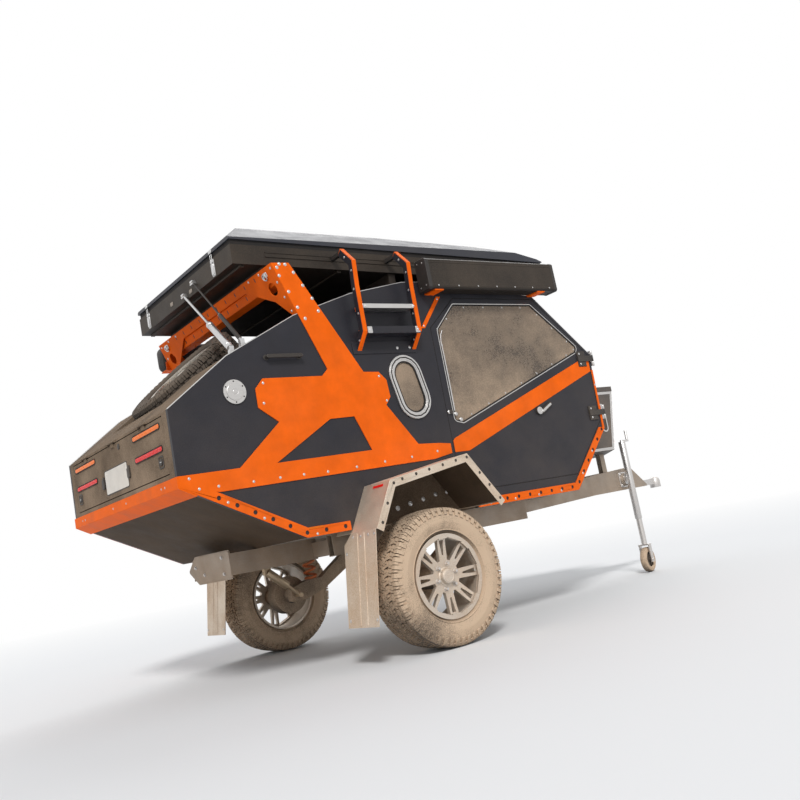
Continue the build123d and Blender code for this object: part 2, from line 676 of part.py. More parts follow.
FILLER = (-1010, 1552)
FILLER_R = 66.0
GRAB = (-687, 1733)         # centre of the grab handle
GRAB_LONG = 226.0
GRAB_W = 20.0
GRAB_OUT = 26.0             # finger gap behind its bar
GRAB_T = 9.0
with BuildPart() as side_fittings:
    for _, sign in SIDES:
        with BuildSketch(upright(sign * BODY_HALF)):
            with Locations(FILLER):
                Circle(FILLER_R)
        extrude(amount=-sign * 8)
        grab_x, grab_z = GRAB
        with BuildSketch(upright(sign * BODY_HALF)):
            with Locations(GRAB):
                with GridLocations(GRAB_LONG - GRAB_W, 1, 2, 1):
                    Circle(GRAB_W / 2)
        extrude(amount=-sign * (GRAB_OUT + GRAB_T))
        with BuildSketch(upright(sign * (BODY_HALF + GRAB_OUT))):
            with Locations(GRAB):
                SlotOverall(GRAB_LONG, GRAB_W)
        extrude(amount=-sign * GRAB_T)
        for low, high in DOOR_HINGES:
            axis_x, axis_y = DOOR_HINGE
            add(fixed_knuckles(door_axis(sign), low, high, DOOR_KNUCKLE_R, DOOR_PIN_R))
            end = END_SHARE * (high - low)
            for z in (low, high - end):
                with BuildSketch(upright(sign * (axis_y - DOOR_KNUCKLE_R))):
                    outline([(nose_x(z) + SEAT, z), (axis_x, z), (axis_x, z + end),
                             (nose_x(z + end) + SEAT, z + end)])
                extrude(amount=-sign * DOOR_KNUCKLE_R)
            with BuildSketch(upright(sign * BODY_HALF)):
                outline([(nose_x(low) + SEAT, low), (nose_x(low) + FIXED_LEAF_T, low),
                         (nose_x(high) + FIXED_LEAF_T, high), (nose_x(high) + SEAT, high)])
            extrude(amount=sign * FIXED_LEAF_W)
save(side_fittings, "side_fittings")

# Chassis: two box rails, cross members and the converging drawbar
RAIL_HALF = 600.0           # outside of the rails from the centre plane
RAIL_W = 60.0
RAIL_LOW = 610.0
RAIL_TOP = BODY["belly_rear"][1]
RAIL_REAR = -415.0
TAIL_RAIL_HALF = 270.0      # narrower rails behind the wheels
TAIL_RAIL_W = 45.0
TAIL_RAIL_REAR = -903.0
RAIL_WALL = 5.0
NECK_X = 1150.0             # where the drawbar starts
DRAWBAR_END = (3120.0, 88.0)
DRAWBAR_W = 50.0
DRAWBAR_T = 5.0
reach = Vector(DRAWBAR_END[0] - NECK_X, RAIL_HALF - DRAWBAR_END[1])
along = reach.normalized()
DRAWBAR_SIDE = [(0, 650), (1065, 680), (reach.length, 683), (reach.length, 700),
                (reach.length - 36, 722), (1770, 862), (1140, 836), (516, 800), (330, 734),
                (0, 734)]


def drawbar_plane(sign):
    """Outer face of one drawbar rail; its own x runs forward along the rail."""
    return Plane(origin=(AXLE_X + NECK_X, sign * RAIL_HALF, 0),
                 x_dir=(along.X, -sign * along.Y, 0),
                 z_dir=(-sign * along.Y, -along.X, 0))


def rail_middle(x):
    """Distance of a drawbar rail's middle from the centre plane at x."""
    return RAIL_HALF - ((x - NECK_X) * along.Y + DRAWBAR_W / 2) / along.X


# Cross members: middle x, half length
CROSS_ROWS = [(-868, TAIL_RAIL_HALF - TAIL_RAIL_W), (-330, RAIL_HALF - RAIL_W),
              (470, RAIL_HALF - RAIL_W), (1090, RAIL_HALF - RAIL_W)]
# Layered end plate on the rear rails: y and z of its corners, thickness of each layer
END_PLATES = [([(-272, 590), (196, 585), (330, 670), (214, 757), (-272, 757)], 4),
              ([(-272, 598), (170, 594), (268, 662), (150, 750), (-272, 750)], 9)]

# Posts under the front box: x and height of the foot inside the drawbar rail
BOX_LOW = 990.0
POST_ROWS = [(1960, 820), (2420, 844)]
POST_LONG = 50.0
POST_W = 44.0

# Trailing arms: inner face, width and their hangers
ARM_Y = RAIL_HALF + 18
ARM_W = 62.0
PIVOT = (500, 590)
CHEEK_T = 8.0
SEAT_T = 10.0
SEAT_W = 88.0
SEAT_ROWS = [(115, 130), (PIVOT[0], 140)]     # x of the coil's and the hanger's cover, length
COIL_X = 130.0
COIL_R = 48.0
COIL_LOW = 470.0

# Swing-up jockey wheel on the outside of the right drawbar rail
JOCKEY_ALONG = 1600.0       # along the rail from the neck
JOCKEY_OUT = 58.0
JOCKEY_PIVOT_Z = 765.0
LEG_R = 28.0
STEM_R = 23.0
JOCKEY_R = 100.0
JOCKEY_W = 56.0
rail = drawbar_plane(-1)
jockey_face = rail.origin + rail.x_dir * JOCKEY_ALONG
jockey_at = jockey_face + rail.z_dir * JOCKEY_OUT
clamp_plane = Plane(origin=jockey_face + Vector(0, 0, JOCKEY_PIVOT_Z), x_dir=rail.x_dir,
                    z_dir=rail.z_dir)

# Rails: rear end, front end, outside from the centre plane, width
RAIL_ROWS = [(RAIL_REAR, NECK_X, RAIL_HALF, RAIL_W),
             (TAIL_RAIL_REAR, CROSS_ROWS[1][0], TAIL_RAIL_HALF, TAIL_RAIL_W)]
with BuildPart() as chassis_frame:
    for _, sign in SIDES:
        for rear, front, outer, wide in RAIL_ROWS:
            with BuildSketch(station(rear)):
                with Locations((sign * (outer - wide / 2), (RAIL_LOW + RAIL_TOP) / 2)):
                    Rectangle(wide, RAIL_TOP - RAIL_LOW)
                    Rectangle(wide - 2 * RAIL_WALL, RAIL_TOP - RAIL_LOW - 2 * RAIL_WALL,
                              mode=Mode.SUBTRACT)
            extrude(amount=front - rear)
        with BuildSketch(drawbar_plane(sign)):
            outline(DRAWBAR_SIDE)
        extrude(amount=sign * DRAWBAR_W)
        with BuildSketch(drawbar_plane(sign).offset(sign * DRAWBAR_T)):
            offset(outline(DRAWBAR_SIDE, Mode.PRIVATE), amount=-DRAWBAR_T,
                   kind=Kind.INTERSECTION)
        extrude(amount=sign * DRAWBAR_W, mode=Mode.SUBTRACT)
    for x, half in CROSS_ROWS:
        with BuildSketch(upright(0)):
            with Locations((x, RAIL_LOW + 55)):
                Rectangle(60, 90)
                Rectangle(50, 80, mode=Mode.SUBTRACT)
        extrude(amount=half, both=True)
    for points, thick in END_PLATES:
        with BuildSketch(station(TAIL_RAIL_REAR)):
            fillet(outline(points).vertices(), 12)
        extrude(amount=-thick)
    for x, foot in POST_ROWS:
        with BuildSketch(level(foot)):
            with Locations((x, -rail_middle(x)), (x, rail_middle(x))):
                Rectangle(POST_LONG, POST_W)
        extrude(amount=BOX_LOW - foot)
    for _, sign in SIDES:
        for inner in (RAIL_HALF, ARM_Y + ARM_W + GAP):
            with BuildSketch(upright(sign * inner)):
                outline([(PIVOT[0] - 70, RAIL_TOP - 1), (PIVOT[0] + 70, RAIL_TOP - 1),
                         (PIVOT[0] + 40, PIVOT[1] - 40), (PIVOT[0] - 40, PIVOT[1] - 40)])
            extrude(amount=-sign * CHEEK_T)
        for x, long in SEAT_ROWS:
            with BuildSketch(level(RAIL_TOP - SEAT_T)):
                with Locations((x, sign * (RAIL_HALF + SEAT_W / 2))):
                    Rectangle(long, SEAT_W)
            extrude(amount=SEAT_T)
    with BuildSketch(clamp_plane):
        Circle(52)
    extrude(amount=JOCKEY_OUT - LEG_R - 6)
save(chassis_frame, "chassis_frame")

# Coupling head between the drawbar's ends, with a round socket open below
BALL_R = 25.0
SOCKET_CLEAR = 0.25
SOCKET_X = COUPLING_END - 46
SOCKET_LOW = 655.0
SOCKET_DEEP = 45.0
TONGUE_REAR = 2990.0
TONGUE_HALF = 26.0
TONGUE_LOW = 684.0
TONGUE_T = 50.0


def rail_inner(x):
    """Distance of a drawbar rail's inner face from the centre plane at x."""
    return rail_middle(x) - DRAWBAR_W / 2 / along.X


with BuildPart() as coupling_head:
    tongue = [(TONGUE_REAR, rail_inner(TONGUE_REAR) - SEAT),
              (DRAWBAR_END[0], rail_inner(DRAWBAR_END[0]) - SEAT), (SOCKET_X - 20, TONGUE_HALF)]
    with BuildSketch(level(TONGUE_LOW)):
        outline([(x, -y) for x, y in tongue] + tongue[::-1])
    extrude(amount=TONGUE_T)
    with BuildSketch(upright(0)):
        outline([(SOCKET_X, SOCKET_LOW), (COUPLING_END, SOCKET_LOW), (COUPLING_END, SOCKET_LOW + 58),
                 (SOCKET_X + 38, SOCKET_LOW + 80), (SOCKET_X + 20, SOCKET_LOW + 92),
                 (SOCKET_X, SOCKET_LOW + 92)])
    revolve(axis=Axis((AXLE_X + SOCKET_X, 0, 0), (0, 0, 1)))
    with BuildSketch(level(SOCKET_LOW)):
        with Locations((SOCKET_X, 0)):
            Circle(BALL_R + SOCKET_CLEAR)
    extrude(amount=SOCKET_DEEP, mode=Mode.SUBTRACT)
save(coupling_head, "coupling_head")

# Front box: V-nosed, open at the top, on four posts above the drawbar
BOX_TOP = 1440.0
BOX_LID = 36.0
BOX_WALL = 8.0
BOX_BACK = 1852.0
BOX_HALF = 600.0


def box_plan(side_front, tip, inset):
    half = BOX_HALF - inset
    return [(BOX_BACK + inset, -half), (side_front - 0.4 * inset, -half), (tip - 1.4 * inset, 0),
            (side_front - 0.4 * inset, half), (BOX_BACK + inset, half)]


BOX_FOOT = (2185, 2735)
BOX_BROW = (2300, 2850)
LID_LIP = 3.0               # lid outside the box walls
BOX_LID_REAR = BOX_BACK - LID_LIP
BOX_HINGES = [(-470, -370), (370, 470)]       # y of each hinge's ends
BOX_KNUCKLE_R = 5.0
BOX_PIN_R = 2.5
box_axis_z = BOX_TOP + SEAT + BOX_LID + BOX_KNUCKLE_R + 0.5
box_axis = cross_axis(BOX_LID_REAR - 2, box_axis_z)
with BuildPart() as front_box:
    with BuildSketch(level(BOX_LOW)):
        outline(box_plan(*BOX_FOOT, 0))
    with BuildSketch(level(BOX_TOP)):
        outline(box_plan(*BOX_BROW, 0))
    loft()
    with BuildSketch(level(BOX_LOW + BOX_WALL)):
        outline(box_plan(*BOX_FOOT, BOX_WALL))
    with BuildSketch(level(BOX_TOP + 1)):
        outline(box_plan(*BOX_BROW, BOX_WALL))
    loft(mode=Mode.SUBTRACT)
    for low, high in BOX_HINGES:
        end = END_SHARE * (high - low)
        for y in (low, high - end):
            with BuildSketch(upright(y + end)):
                outline([(BOX_BACK - 4, BOX_TOP - 60), (BOX_BACK, BOX_TOP - 60),
                         (BOX_BACK, BOX_TOP - 6), (BOX_LID_REAR - SEAT, BOX_TOP - 6),
                         (BOX_LID_REAR - SEAT, box_axis_z), (BOX_BACK - 10, box_axis_z),
                         (BOX_BACK - 10, BOX_TOP - 50)])
            extrude(amount=end)
        add(fixed_knuckles(box_axis, low, high, BOX_KNUCKLE_R, BOX_PIN_R))
save(front_box, "front_box")

with BuildPart() as box_lid:
    with BuildSketch(level(BOX_TOP + SEAT)):
        outline(box_plan(*BOX_BROW, -LID_LIP))
    extrude(amount=BOX_LID)
    with BuildSketch(level(BOX_TOP)):
        outline(box_plan(*BOX_BROW, LID_LIP))
    extrude(amount=BOX_LID - SHEET, mode=Mode.SUBTRACT)
    for low, high in BOX_HINGES:
        end = END_SHARE * (high - low) + KNUCKLE_GAP
        with BuildSketch(upright(high - end)):
            outline([(BOX_LID_REAR - 2, box_axis_z - BOX_KNUCKLE_R),
                     (BOX_LID_REAR + 40, box_axis_z - BOX_KNUCKLE_R - 1),
                     (BOX_LID_REAR + 40, box_axis_z - 2), (BOX_LID_REAR - 2, box_axis_z)])
        extrude(amount=high - low - 2 * end)
        add(moving_knuckle(box_axis, low, high, BOX_KNUCKLE_R, BOX_PIN_R))
        add(pin_space(box_axis, low, high, BOX_PIN_R), mode=Mode.SUBTRACT)
save(box_lid, "box_lid")

# Roof tent: tray, bedding and a bevelled lid hinged at the front
TENT_REAR = -828.0
TENT_FRONT = 1690.0
TENT_HALF = 722.0
TENT_LOW = 2320.0           # tray's underside at its rear end
TENT_SLOPE = -0.021         # the tent falls forward by this share of its length
TRAY_H = 117.0
TRAY_T = 20.0
LID_SEAM = 30.0             # dark seal between tray and lid
LID_HALF = TENT_HALF + 5
LID_FLAT = LID_HALF - 197   # half width of the lid's level top
LID_T = 12.0


def tent_z(x, height):
    return TENT_LOW + height + TENT_SLOPE * (x - TENT_REAR)


def tent_side(rear, front, low, high):
    return [(rear, tent_z(rear, low)), (rear, tent_z(rear, high)),
            (front, tent_z(front, high)), (front, tent_z(front, low))]


TENT_HINGES = [(-560, -420), (-70, 70), (420, 560)]   # y of each hinge's ends
TENT_KNUCKLE_R = 7.0
TENT_PIN_R = 3.5
tent_axis_z = tent_z(TENT_FRONT, TRAY_H + LID_SEAM)
tent_axis = cross_axis(TENT_FRONT + SEAT + TENT_KNUCKLE_R, tent_axis_z)
with BuildPart() as tent_tray:
    with BuildSketch(upright(0)):
        outline(tent_side(TENT_REAR, TENT_FRONT, 0, TRAY_H))
    extrude(amount=TENT_HALF, both=True)
    with BuildSketch(upright(0)):
        outline(tent_side(TENT_REAR + TRAY_T, TENT_FRONT - TRAY_T, TRAY_T, TRAY_H + 5))
    extrude(amount=TENT_HALF - TRAY_T, both=True, mode=Mode.SUBTRACT)
    for low, high in TENT_HINGES:
        end = END_SHARE * (high - low)
        for y in (low, high - end):
            with BuildSketch(upright(y + end)):
                outline([(TENT_FRONT, tent_axis_z - 70),
                         (TENT_FRONT + TENT_KNUCKLE_R, tent_axis_z - 60),
                         (TENT_FRONT + TENT_KNUCKLE_R, tent_axis_z),
                         (TENT_FRONT + SEAT, tent_axis_z), (TENT_FRONT + SEAT, tent_axis_z - 32),
                         (TENT_FRONT, tent_axis_z - 32)])
            extrude(amount=end)
        add(fixed_knuckles(tent_axis, low, high, TENT_KNUCKLE_R, TENT_PIN_R))
save(tent_tray, "tent_tray")

with BuildPart() as tent_bedding:
    with BuildSketch(upright(0)):
        outline(tent_side(TENT_REAR + TRAY_T + 30, TENT_FRONT - TRAY_T - 30, TRAY_T + SEAT,
                          TRAY_H + 5))
    extrude(amount=TENT_HALF - TRAY_T - 30, both=True)
save(tent_bedding, "tent_bedding")

LID_SIDE = [(TENT_REAR - 5, tent_z(TENT_REAR, TRAY_H + LID_SEAM)),
            (TENT_REAR - 5, tent_z(TENT_REAR, TRAY_H + LID_SEAM + 22)),
            (-673, 2614), (300, 2596), (1100, 2545), (1640, 2440),
            (TENT_FRONT, tent_z(TENT_FRONT, TRAY_H + LID_SEAM + 8)),
            (TENT_FRONT, tent_z(TENT_FRONT, TRAY_H + LID_SEAM))]
LID_END = [(-LID_HALF, 2300), (-LID_HALF, 2480), (-LID_FLAT, 2618), (LID_FLAT, 2618),
           (LID_HALF, 2480), (LID_HALF, 2300)]


def lid_block(side, end):
    """Block between the lid's side outline and its bevelled end outline."""
    with BuildPart() as block:
        with BuildSketch(upright(0)):
            add(side)
        extrude(amount=2 * TENT_HALF, both=True)
        with BuildSketch(station(TENT_REAR - 50)):
            add(end)
        extrude(amount=TENT_FRONT - TENT_REAR + 100, mode=Mode.INTERSECT)
    return block.part


lid_side = Polygon(*LID_SIDE, align=None)
lid_end = Polygon(*LID_END, align=None)
lid_hollow = lid_block(offset(lid_side, amount=-LID_T, kind=Kind.INTERSECTION),
                       offset(lid_end, amount=-LID_T, kind=Kind.INTERSECTION))
with BuildPart() as tent_lid:
    add(lid_block(lid_side, lid_end))
    add(lid_hollow.moved(Location((0, 0, -LID_T - 1))), mode=Mode.SUBTRACT)
    for low, high in TENT_HINGES:
        end = END_SHARE * (high - low) + KNUCKLE_GAP
        with BuildSketch(upright(high - end)):
            outline([(TENT_FRONT - 6, tent_axis_z + 4),
                     (TENT_FRONT + SEAT + TENT_KNUCKLE_R, tent_axis_z),
                     (TENT_FRONT + 2 * TENT_KNUCKLE_R, tent_axis_z + 3),
                     (TENT_FRONT + 3, tent_axis_z + 26), (TENT_FRONT - 6, tent_axis_z + 26)])
        extrude(amount=high - low - 2 * end)
        add(moving_knuckle(tent_axis, low, high, TENT_KNUCKLE_R, TENT_PIN_R))
        add(pin_space(tent_axis, low, high, TENT_PIN_R), mode=Mode.SUBTRACT)
save(tent_lid, "tent_lid")

with BuildPart() as tent_seal:
    with BuildSketch(upright(0)):
        outline(tent_side(TENT_REAR + 6, TENT_FRONT - 6, TRAY_H, TRAY_H + LID_SEAM - SEAT))
    extrude(amount=TENT_HALF - 6, both=True)
    with BuildSketch(upright(0)):
        outline(tent_side(TENT_REAR + 20, TENT_FRONT - 20, TRAY_H - 1, TRAY_H + LID_SEAM + 1))
    extrude(amount=TENT_HALF - 20, both=True, mode=Mode.SUBTRACT)
save(tent_seal, "tent_seal")

# Bars that carry the tent on the roof and on the roll bar: x and foot height
BAR_X = [-605, 300, 1250]
BAR_W = 50.0


with BuildPart() as roof_bars:
    for x in BAR_X:
        rear, front = x - BAR_W / 2, x + BAR_W / 2
        on_beam = x < BODY["deck_top"][0]
        feet = [LEG_TOP_REAR[1] + 1 if on_beam else body_top(edge) for edge in (rear, front)]
        with BuildSketch(upright(0)):
            outline([(rear, feet[0] + SEAT), (front, feet[1] + SEAT),
                     (front, tent_z(front, -SEAT)), (rear, tent_z(rear, -SEAT))])
        extrude(amount=700, both=True)
save(roof_bars, "roof_bars")

# Two stays on the right: from the deck's edge up to the middle of the tray's rear face.
# Foot (x, z), top (y, height on the tray), radius of the rod, radius of the lower tube
STAY_ROWS = [((-956, 1810), (-62, 24), 8, 20), ((-885, 1852), (-214, 59), 5, 11)]
STAY_FOOT_Y = -(BODY_HALF - 66)
TUBE_SHARE = 0.42           # share of a stay's length in its lower tube
LUG_HALF = 13.0
LUG_T = 26.0
tray_rear = TENT_REAR - SEAT
with BuildPart() as tent_stays:
    for (x, z), (top_y, height), rod_r, tube_r in STAY_ROWS:
        top_z = tent_z(TENT_REAR, height)
        start = Vector(AXLE_X + x, STAY_FOOT_Y, z)
        run = Vector(AXLE_X + tray_rear - LUG_T / 2, top_y, top_z) - start
        for radius, long in [(rod_r, run.length), (tube_r, run.length * TUBE_SHARE)]:
            with BuildSketch(Plane(origin=start, z_dir=run.normalized())):
                Circle(radius)
            extrude(amount=long)
        with BuildSketch(upright(STAY_FOOT_Y - LUG_HALF)):
            outline([(x - LUG_HALF, body_top(x - LUG_HALF) + SEAT),
                     (x + LUG_HALF, body_top(x + LUG_HALF) + SEAT),
                     (x + LUG_HALF, z + 8), (x - LUG_HALF, z + 8)])
        extrude(amount=-2 * LUG_HALF)
        with BuildSketch(station(tray_rear)):
            with Locations((top_y, top_z)):
                RectangleRounded(3 * LUG_HALF, 2 * LUG_HALF, 5)
        extrude(amount=-LUG_T)
save(tent_stays, "tent_stays")

# Awnings: a hard case on the right and a long bag on the left
AWNING_LOW = 2112.0
AWNING_HIGH = 2312.0
AWNING_GAP = 16.0           # between an awning and the side panel
CASE_FROM = 366.0           # rear end and length of the right case
CASE_LONG = 1144.0
CASE_OUT = 122.0            # how far it stands out from the side
BAG_FROM = -620.0
BAG_LONG = 2120.0
BAG_W = 196.0
BAG_H = AWNING_HIGH + 4 - AWNING_LOW
BAG_R = 44.0
case_in = -(BODY_HALF + AWNING_GAP)
case_out = -(BODY_HALF + CASE_OUT)
with BuildPart() as awning_right:
    with BuildSketch(station(CASE_FROM)):
        outline([(case_in, AWNING_LOW), (case_out + 10, AWNING_LOW), (case_out, AWNING_LOW + 10),
                 (case_out + 2, AWNING_HIGH - 12), (case_out + 17, AWNING_HIGH),
                 (case_in, AWNING_HIGH)])
    extrude(amount=CASE_LONG)
save(awning_right, "awning_right")

with BuildPart() as awning_left:
    with BuildSketch(station(BAG_FROM)):
        with Locations((BODY_HALF + AWNING_GAP + 2 + BAG_W / 2, AWNING_LOW + BAG_H / 2)):
            RectangleRounded(BAG_W, BAG_H, BAG_R)
    extrude(amount=BAG_LONG)
save(awning_left, "awning_left")

# Angle brackets under the awnings: side, x, inner end of the foot
BRACKET_ROWS = [(-1, 450, BODY_HALF), (-1, 1360, BODY_HALF), (1, -590, BODY_HALF + PLATE),
                (1, 450, BODY_HALF), (1, 1360, BODY_HALF)]
BRACKET_W = 70.0
BRACKET_T = 8.0
BRACKET_OUT = BODY_HALF + 110
with BuildPart() as awning_brackets:
    for sign, x, inner in BRACKET_ROWS:
        with BuildSketch(station(x - BRACKET_W / 2)):
            outline([(sign * inner, AWNING_LOW - BRACKET_T),
                     (sign * BRACKET_OUT, AWNING_LOW - BRACKET_T), (sign * BRACKET_OUT, AWNING_LOW),
                     (sign * (BODY_HALF + AWNING_GAP), AWNING_LOW),
                     (sign * (BODY_HALF + AWNING_GAP), AWNING_LOW + 55),
                     (sign * inner, AWNING_LOW + 55)])
        extrude(amount=BRACKET_W)
save(awning_brackets, "awning_brackets")

# Ladder of two folded stringers, treads and a foot plate on the right side
# Stringer outline: distance out from the side panel, z
STRINGER = [(0, 1748), (96, 1847), (97, 2128), (108, 2280), (9, 2385), (-21, 2352),
            (66, 2260), (56, 2128), (55, 1862), (0, 1806)]
STRINGER_X = [-154, 252]
FLANGE = 24.0               # folded edges of the stringers, turned to the rear
TREAD_ROWS = [(2003, 24), (1856, 40)]         # z and height of each tread
TREAD_IN = 12.0             # inner and outer edge of the treads from the side panel
TREAD_OUT = 92.0
FOOT_PLATE = [(-210, 1735), (262, 1735), (262, 1808), (-210, 1808)]
HOOK_Z = 2368.0             # hooks on the tent tray
HOOK_H = 20.0
HOOK_LONG = 24.0
with BuildPart() as ladder:
    for x in STRINGER_X:
        with BuildSketch(station(x)):
            outline([(-(BODY_HALF + out), z) for out, z in STRINGER])
        extrude(amount=SHEET)
        with BuildSketch(station(x)):
            web = outline([(-(BODY_HALF + out), z) for out, z in STRINGER])
            offset(web, amount=-SHEET, kind=Kind.INTERSECTION, mode=Mode.SUBTRACT)
        extrude(amount=-FLANGE)
        with BuildSketch(station(x - 10)):
            with Locations((-(TENT_HALF + BODY_HALF + 8) / 2, HOOK_Z)):
                Rectangle(BODY_HALF + 8 - TENT_HALF, HOOK_H)
        extrude(amount=HOOK_LONG)
    for z, tall in TREAD_ROWS:
        with BuildSketch(station(STRINGER_X[0] + SHEET)):
            with Locations((-BODY_HALF - (TREAD_IN + TREAD_OUT) / 2, z)):
                Rectangle(TREAD_OUT - TREAD_IN, tall)
        extrude(amount=STRINGER_X[1] - STRINGER_X[0] - SHEET)
    with BuildSketch(upright(-BODY_HALF)):
        outline(FOOT_PLATE)
    extrude(amount=SHEET)
save(ladder, "ladder")

# Independent trailing-arm suspension: arms, coils, dampers, spindles
SPINDLE_END = 1008.0
with BuildPart() as trailing_arms:
    for _, sign in SIDES:
        with BuildSketch(upright(sign * ARM_Y)):
            outline([(PIVOT[0] + 35, PIVOT[1] - 30), (PIVOT[0] + 35, PIVOT[1] + 30),
                     (PIVOT[0] - 60, PIVOT[1] + 34), (COIL_X + COIL_R + 20, COIL_LOW - SEAT),
                     (COIL_X - COIL_R, COIL_LOW - SEAT), (-60, 430), (-60, 346), (60, 340),
                     (220, 390)])
        extrude(amount=-sign * ARM_W)
        spindle_plane = Plane(origin=(AXLE_X, sign * (ARM_Y + ARM_W), TYRE_R),
                              z_dir=(0, sign, 0))
        with BuildSketch(spindle_plane):
            Circle(SPINDLE_R)
        extrude(amount=SPINDLE_END - ARM_Y - ARM_W)
        with BuildSketch(spindle_plane):
            Circle(60)
        extrude(amount=50)
save(trailing_arms, "trailing_arms")

WIRE_R = 9.0
COIL_TURNS = 6
TURN_STEPS = 12             # straight steps in a turn of the wire
coil_high = RAIL_TOP - SEAT_T - SEAT
with BuildPart() as coil_springs:
    for _, sign in SIDES:
        middle = Vector(AXLE_X + COIL_X, sign * (ARM_Y + ARM_W / 2), COIL_LOW + WIRE_R)
        rise = (coil_high - COIL_LOW - 2 * WIRE_R) / (COIL_TURNS * TURN_STEPS)
        wire = []
        for k in range(COIL_TURNS * TURN_STEPS + 1):
            turn = 2 * math.pi * k / TURN_STEPS
            wire.append(middle + Vector(math.cos(turn), math.sin(turn)) * (COIL_R - WIRE_R)
                        + Vector(0, 0, rise * k))
        with BuildLine() as helix:
            Polyline(*wire)
        with BuildSketch(Plane(origin=wire[0], x_dir=(0, 0, 1), z_dir=wire[1] - wire[0])):
            RegularPolygon(WIRE_R, 6)
        sweep(path=helix.line, transition=Transition.RIGHT)
save(coil_springs, "coil_springs")

DAMPER_TOP = (-250, 580)
DAMPER_FOOT = (-20, 380)
DAMPER_Y = 572.0
DAMPER_R = 29.0
EYE_R = 16.0
with BuildPart() as dampers:
    for _, sign in SIDES:
        start = Vector(AXLE_X + DAMPER_TOP[0], sign * DAMPER_Y, DAMPER_TOP[1])
        run = Vector(DAMPER_FOOT[0] - DAMPER_TOP[0], 0, DAMPER_FOOT[1] - DAMPER_TOP[1])
        with BuildSketch(Plane(origin=start, z_dir=run.normalized())):
            Circle(DAMPER_R)
        extrude(amount=run.length * 0.6)
        with BuildSketch(Plane(origin=start, z_dir=run.normalized())):
            Circle(13)
        extrude(amount=run.length)
        with BuildSketch(upright(sign * (ARM_Y - SEAT))):
            with Locations(DAMPER_FOOT):
                Circle(EYE_R)
        extrude(amount=sign * (ARM_Y - DAMPER_Y + EYE_R))
        with BuildSketch(level(DAMPER_TOP[1] - 20)):
            with Locations((DAMPER_TOP[0], sign * DAMPER_Y)):
                Rectangle(50, 36)
        extrude(amount=RAIL_LOW - SEAT - DAMPER_TOP[1] + 20)
save(dampers, "dampers")

DRUM_IN = 745.0
DRUM_LONG = 105.0
DRUM_R = 130.0
HUB_R = 62.0
HUB_FACE = WHEEL_Y + DISC_IN
for name, sign in SIDES:
    with BuildPart() as drum:
        with BuildSketch(Plane(origin=(AXLE_X, sign * DRUM_IN, TYRE_R), z_dir=(0, sign, 0))):
            Circle(DRUM_R)
        extrude(amount=DRUM_LONG)
        with BuildSketch(Plane(origin=(AXLE_X, sign * DRUM_IN, TYRE_R), z_dir=(0, sign, 0))):
            Circle(HUB_R)
        extrude(amount=HUB_FACE - DRUM_IN)
        with BuildSketch(Plane(origin=(AXLE_X, sign * DRUM_IN, TYRE_R), z_dir=(0, sign, 0))):
            Circle(SPINDLE_R + RUNNING)
        extrude(amount=SPINDLE_END + 4 - DRUM_IN, mode=Mode.SUBTRACT)
    save(drum, f"hub_{name}")

# Jockey wheel, swung down: leg, telescopic stem, fork and wheel
STEM_TRAVEL = 200.0
STEM_LOW = 225.0
STEM_LONG = 520.0
LEG_LOW = STEM_LOW + STEM_TRAVEL + 2 * GAP
LEG_TOP = 1070.0
SLEEVE = 0.5                # radial room between stem and leg
CRANK_REACH = 110.0
CRANK_R = 10.0
FORK_T = 12.0
FORK_ARM_T = 10.0
FORK_ARM_W = 44.0
WHEEL_PIN_R = 8.0


def jockey_level(z):
    return Plane(origin=(jockey_at.X, jockey_at.Y, z), x_dir=rail.x_dir)


with BuildPart() as jockey_leg:
    with BuildSketch(jockey_level(LEG_LOW)):
        Circle(LEG_R)
    extrude(amount=LEG_TOP - LEG_LOW)
    with BuildSketch(clamp_plane.offset(JOCKEY_OUT - LEG_R - 6 + SEAT)):
        Circle(48)
    extrude(amount=LEG_R)
    with BuildSketch(jockey_level(LEG_TOP)):
        with Locations((CRANK_REACH / 2, 0)):
            SlotOverall(CRANK_REACH + 24, 24)
    extrude(amount=14)
    with BuildSketch(jockey_level(LEG_TOP + 14)):
        with Locations((CRANK_REACH, 0)):
            Circle(CRANK_R)
    extrude(amount=80)
    with BuildSketch(jockey_level(LEG_LOW - 1)):
        Circle(STEM_R + SLEEVE)
    extrude(amount=STEM_LOW + STEM_LONG + STEM_TRAVEL + 3 * GAP - LEG_LOW, mode=Mode.SUBTRACT)
save(jockey_leg, "jockey_leg")

with BuildPart() as jockey_stem:
    with BuildSketch(jockey_level(STEM_LOW)):
        Circle(STEM_R)
    extrude(amount=STEM_LONG)
save(jockey_stem, "jockey_stem")

wheel_middle = Plane(origin=(jockey_at.X, jockey_at.Y, JOCKEY_R), z_dir=rail.z_dir)
with BuildPart() as jockey_fork:
    with BuildSketch(jockey_level(STEM_LOW - FORK_T)):
        Rectangle(60, JOCKEY_W + 34)
    extrude(amount=FORK_T - SEAT)
    for side in (-1, 1):
        with BuildSketch(jockey_level(JOCKEY_R - FORK_ARM_W / 2)):
            with Locations((0, side * (JOCKEY_W / 2 + 7 + FORK_ARM_T / 2))):
                Rectangle(FORK_ARM_W, FORK_ARM_T)
        extrude(amount=STEM_LOW - FORK_T - JOCKEY_R + FORK_ARM_W / 2)
    with BuildSketch(wheel_middle):
        Circle(WHEEL_PIN_R)
    extrude(amount=JOCKEY_W / 2 + 16, both=True)
save(jockey_fork, "jockey_fork")

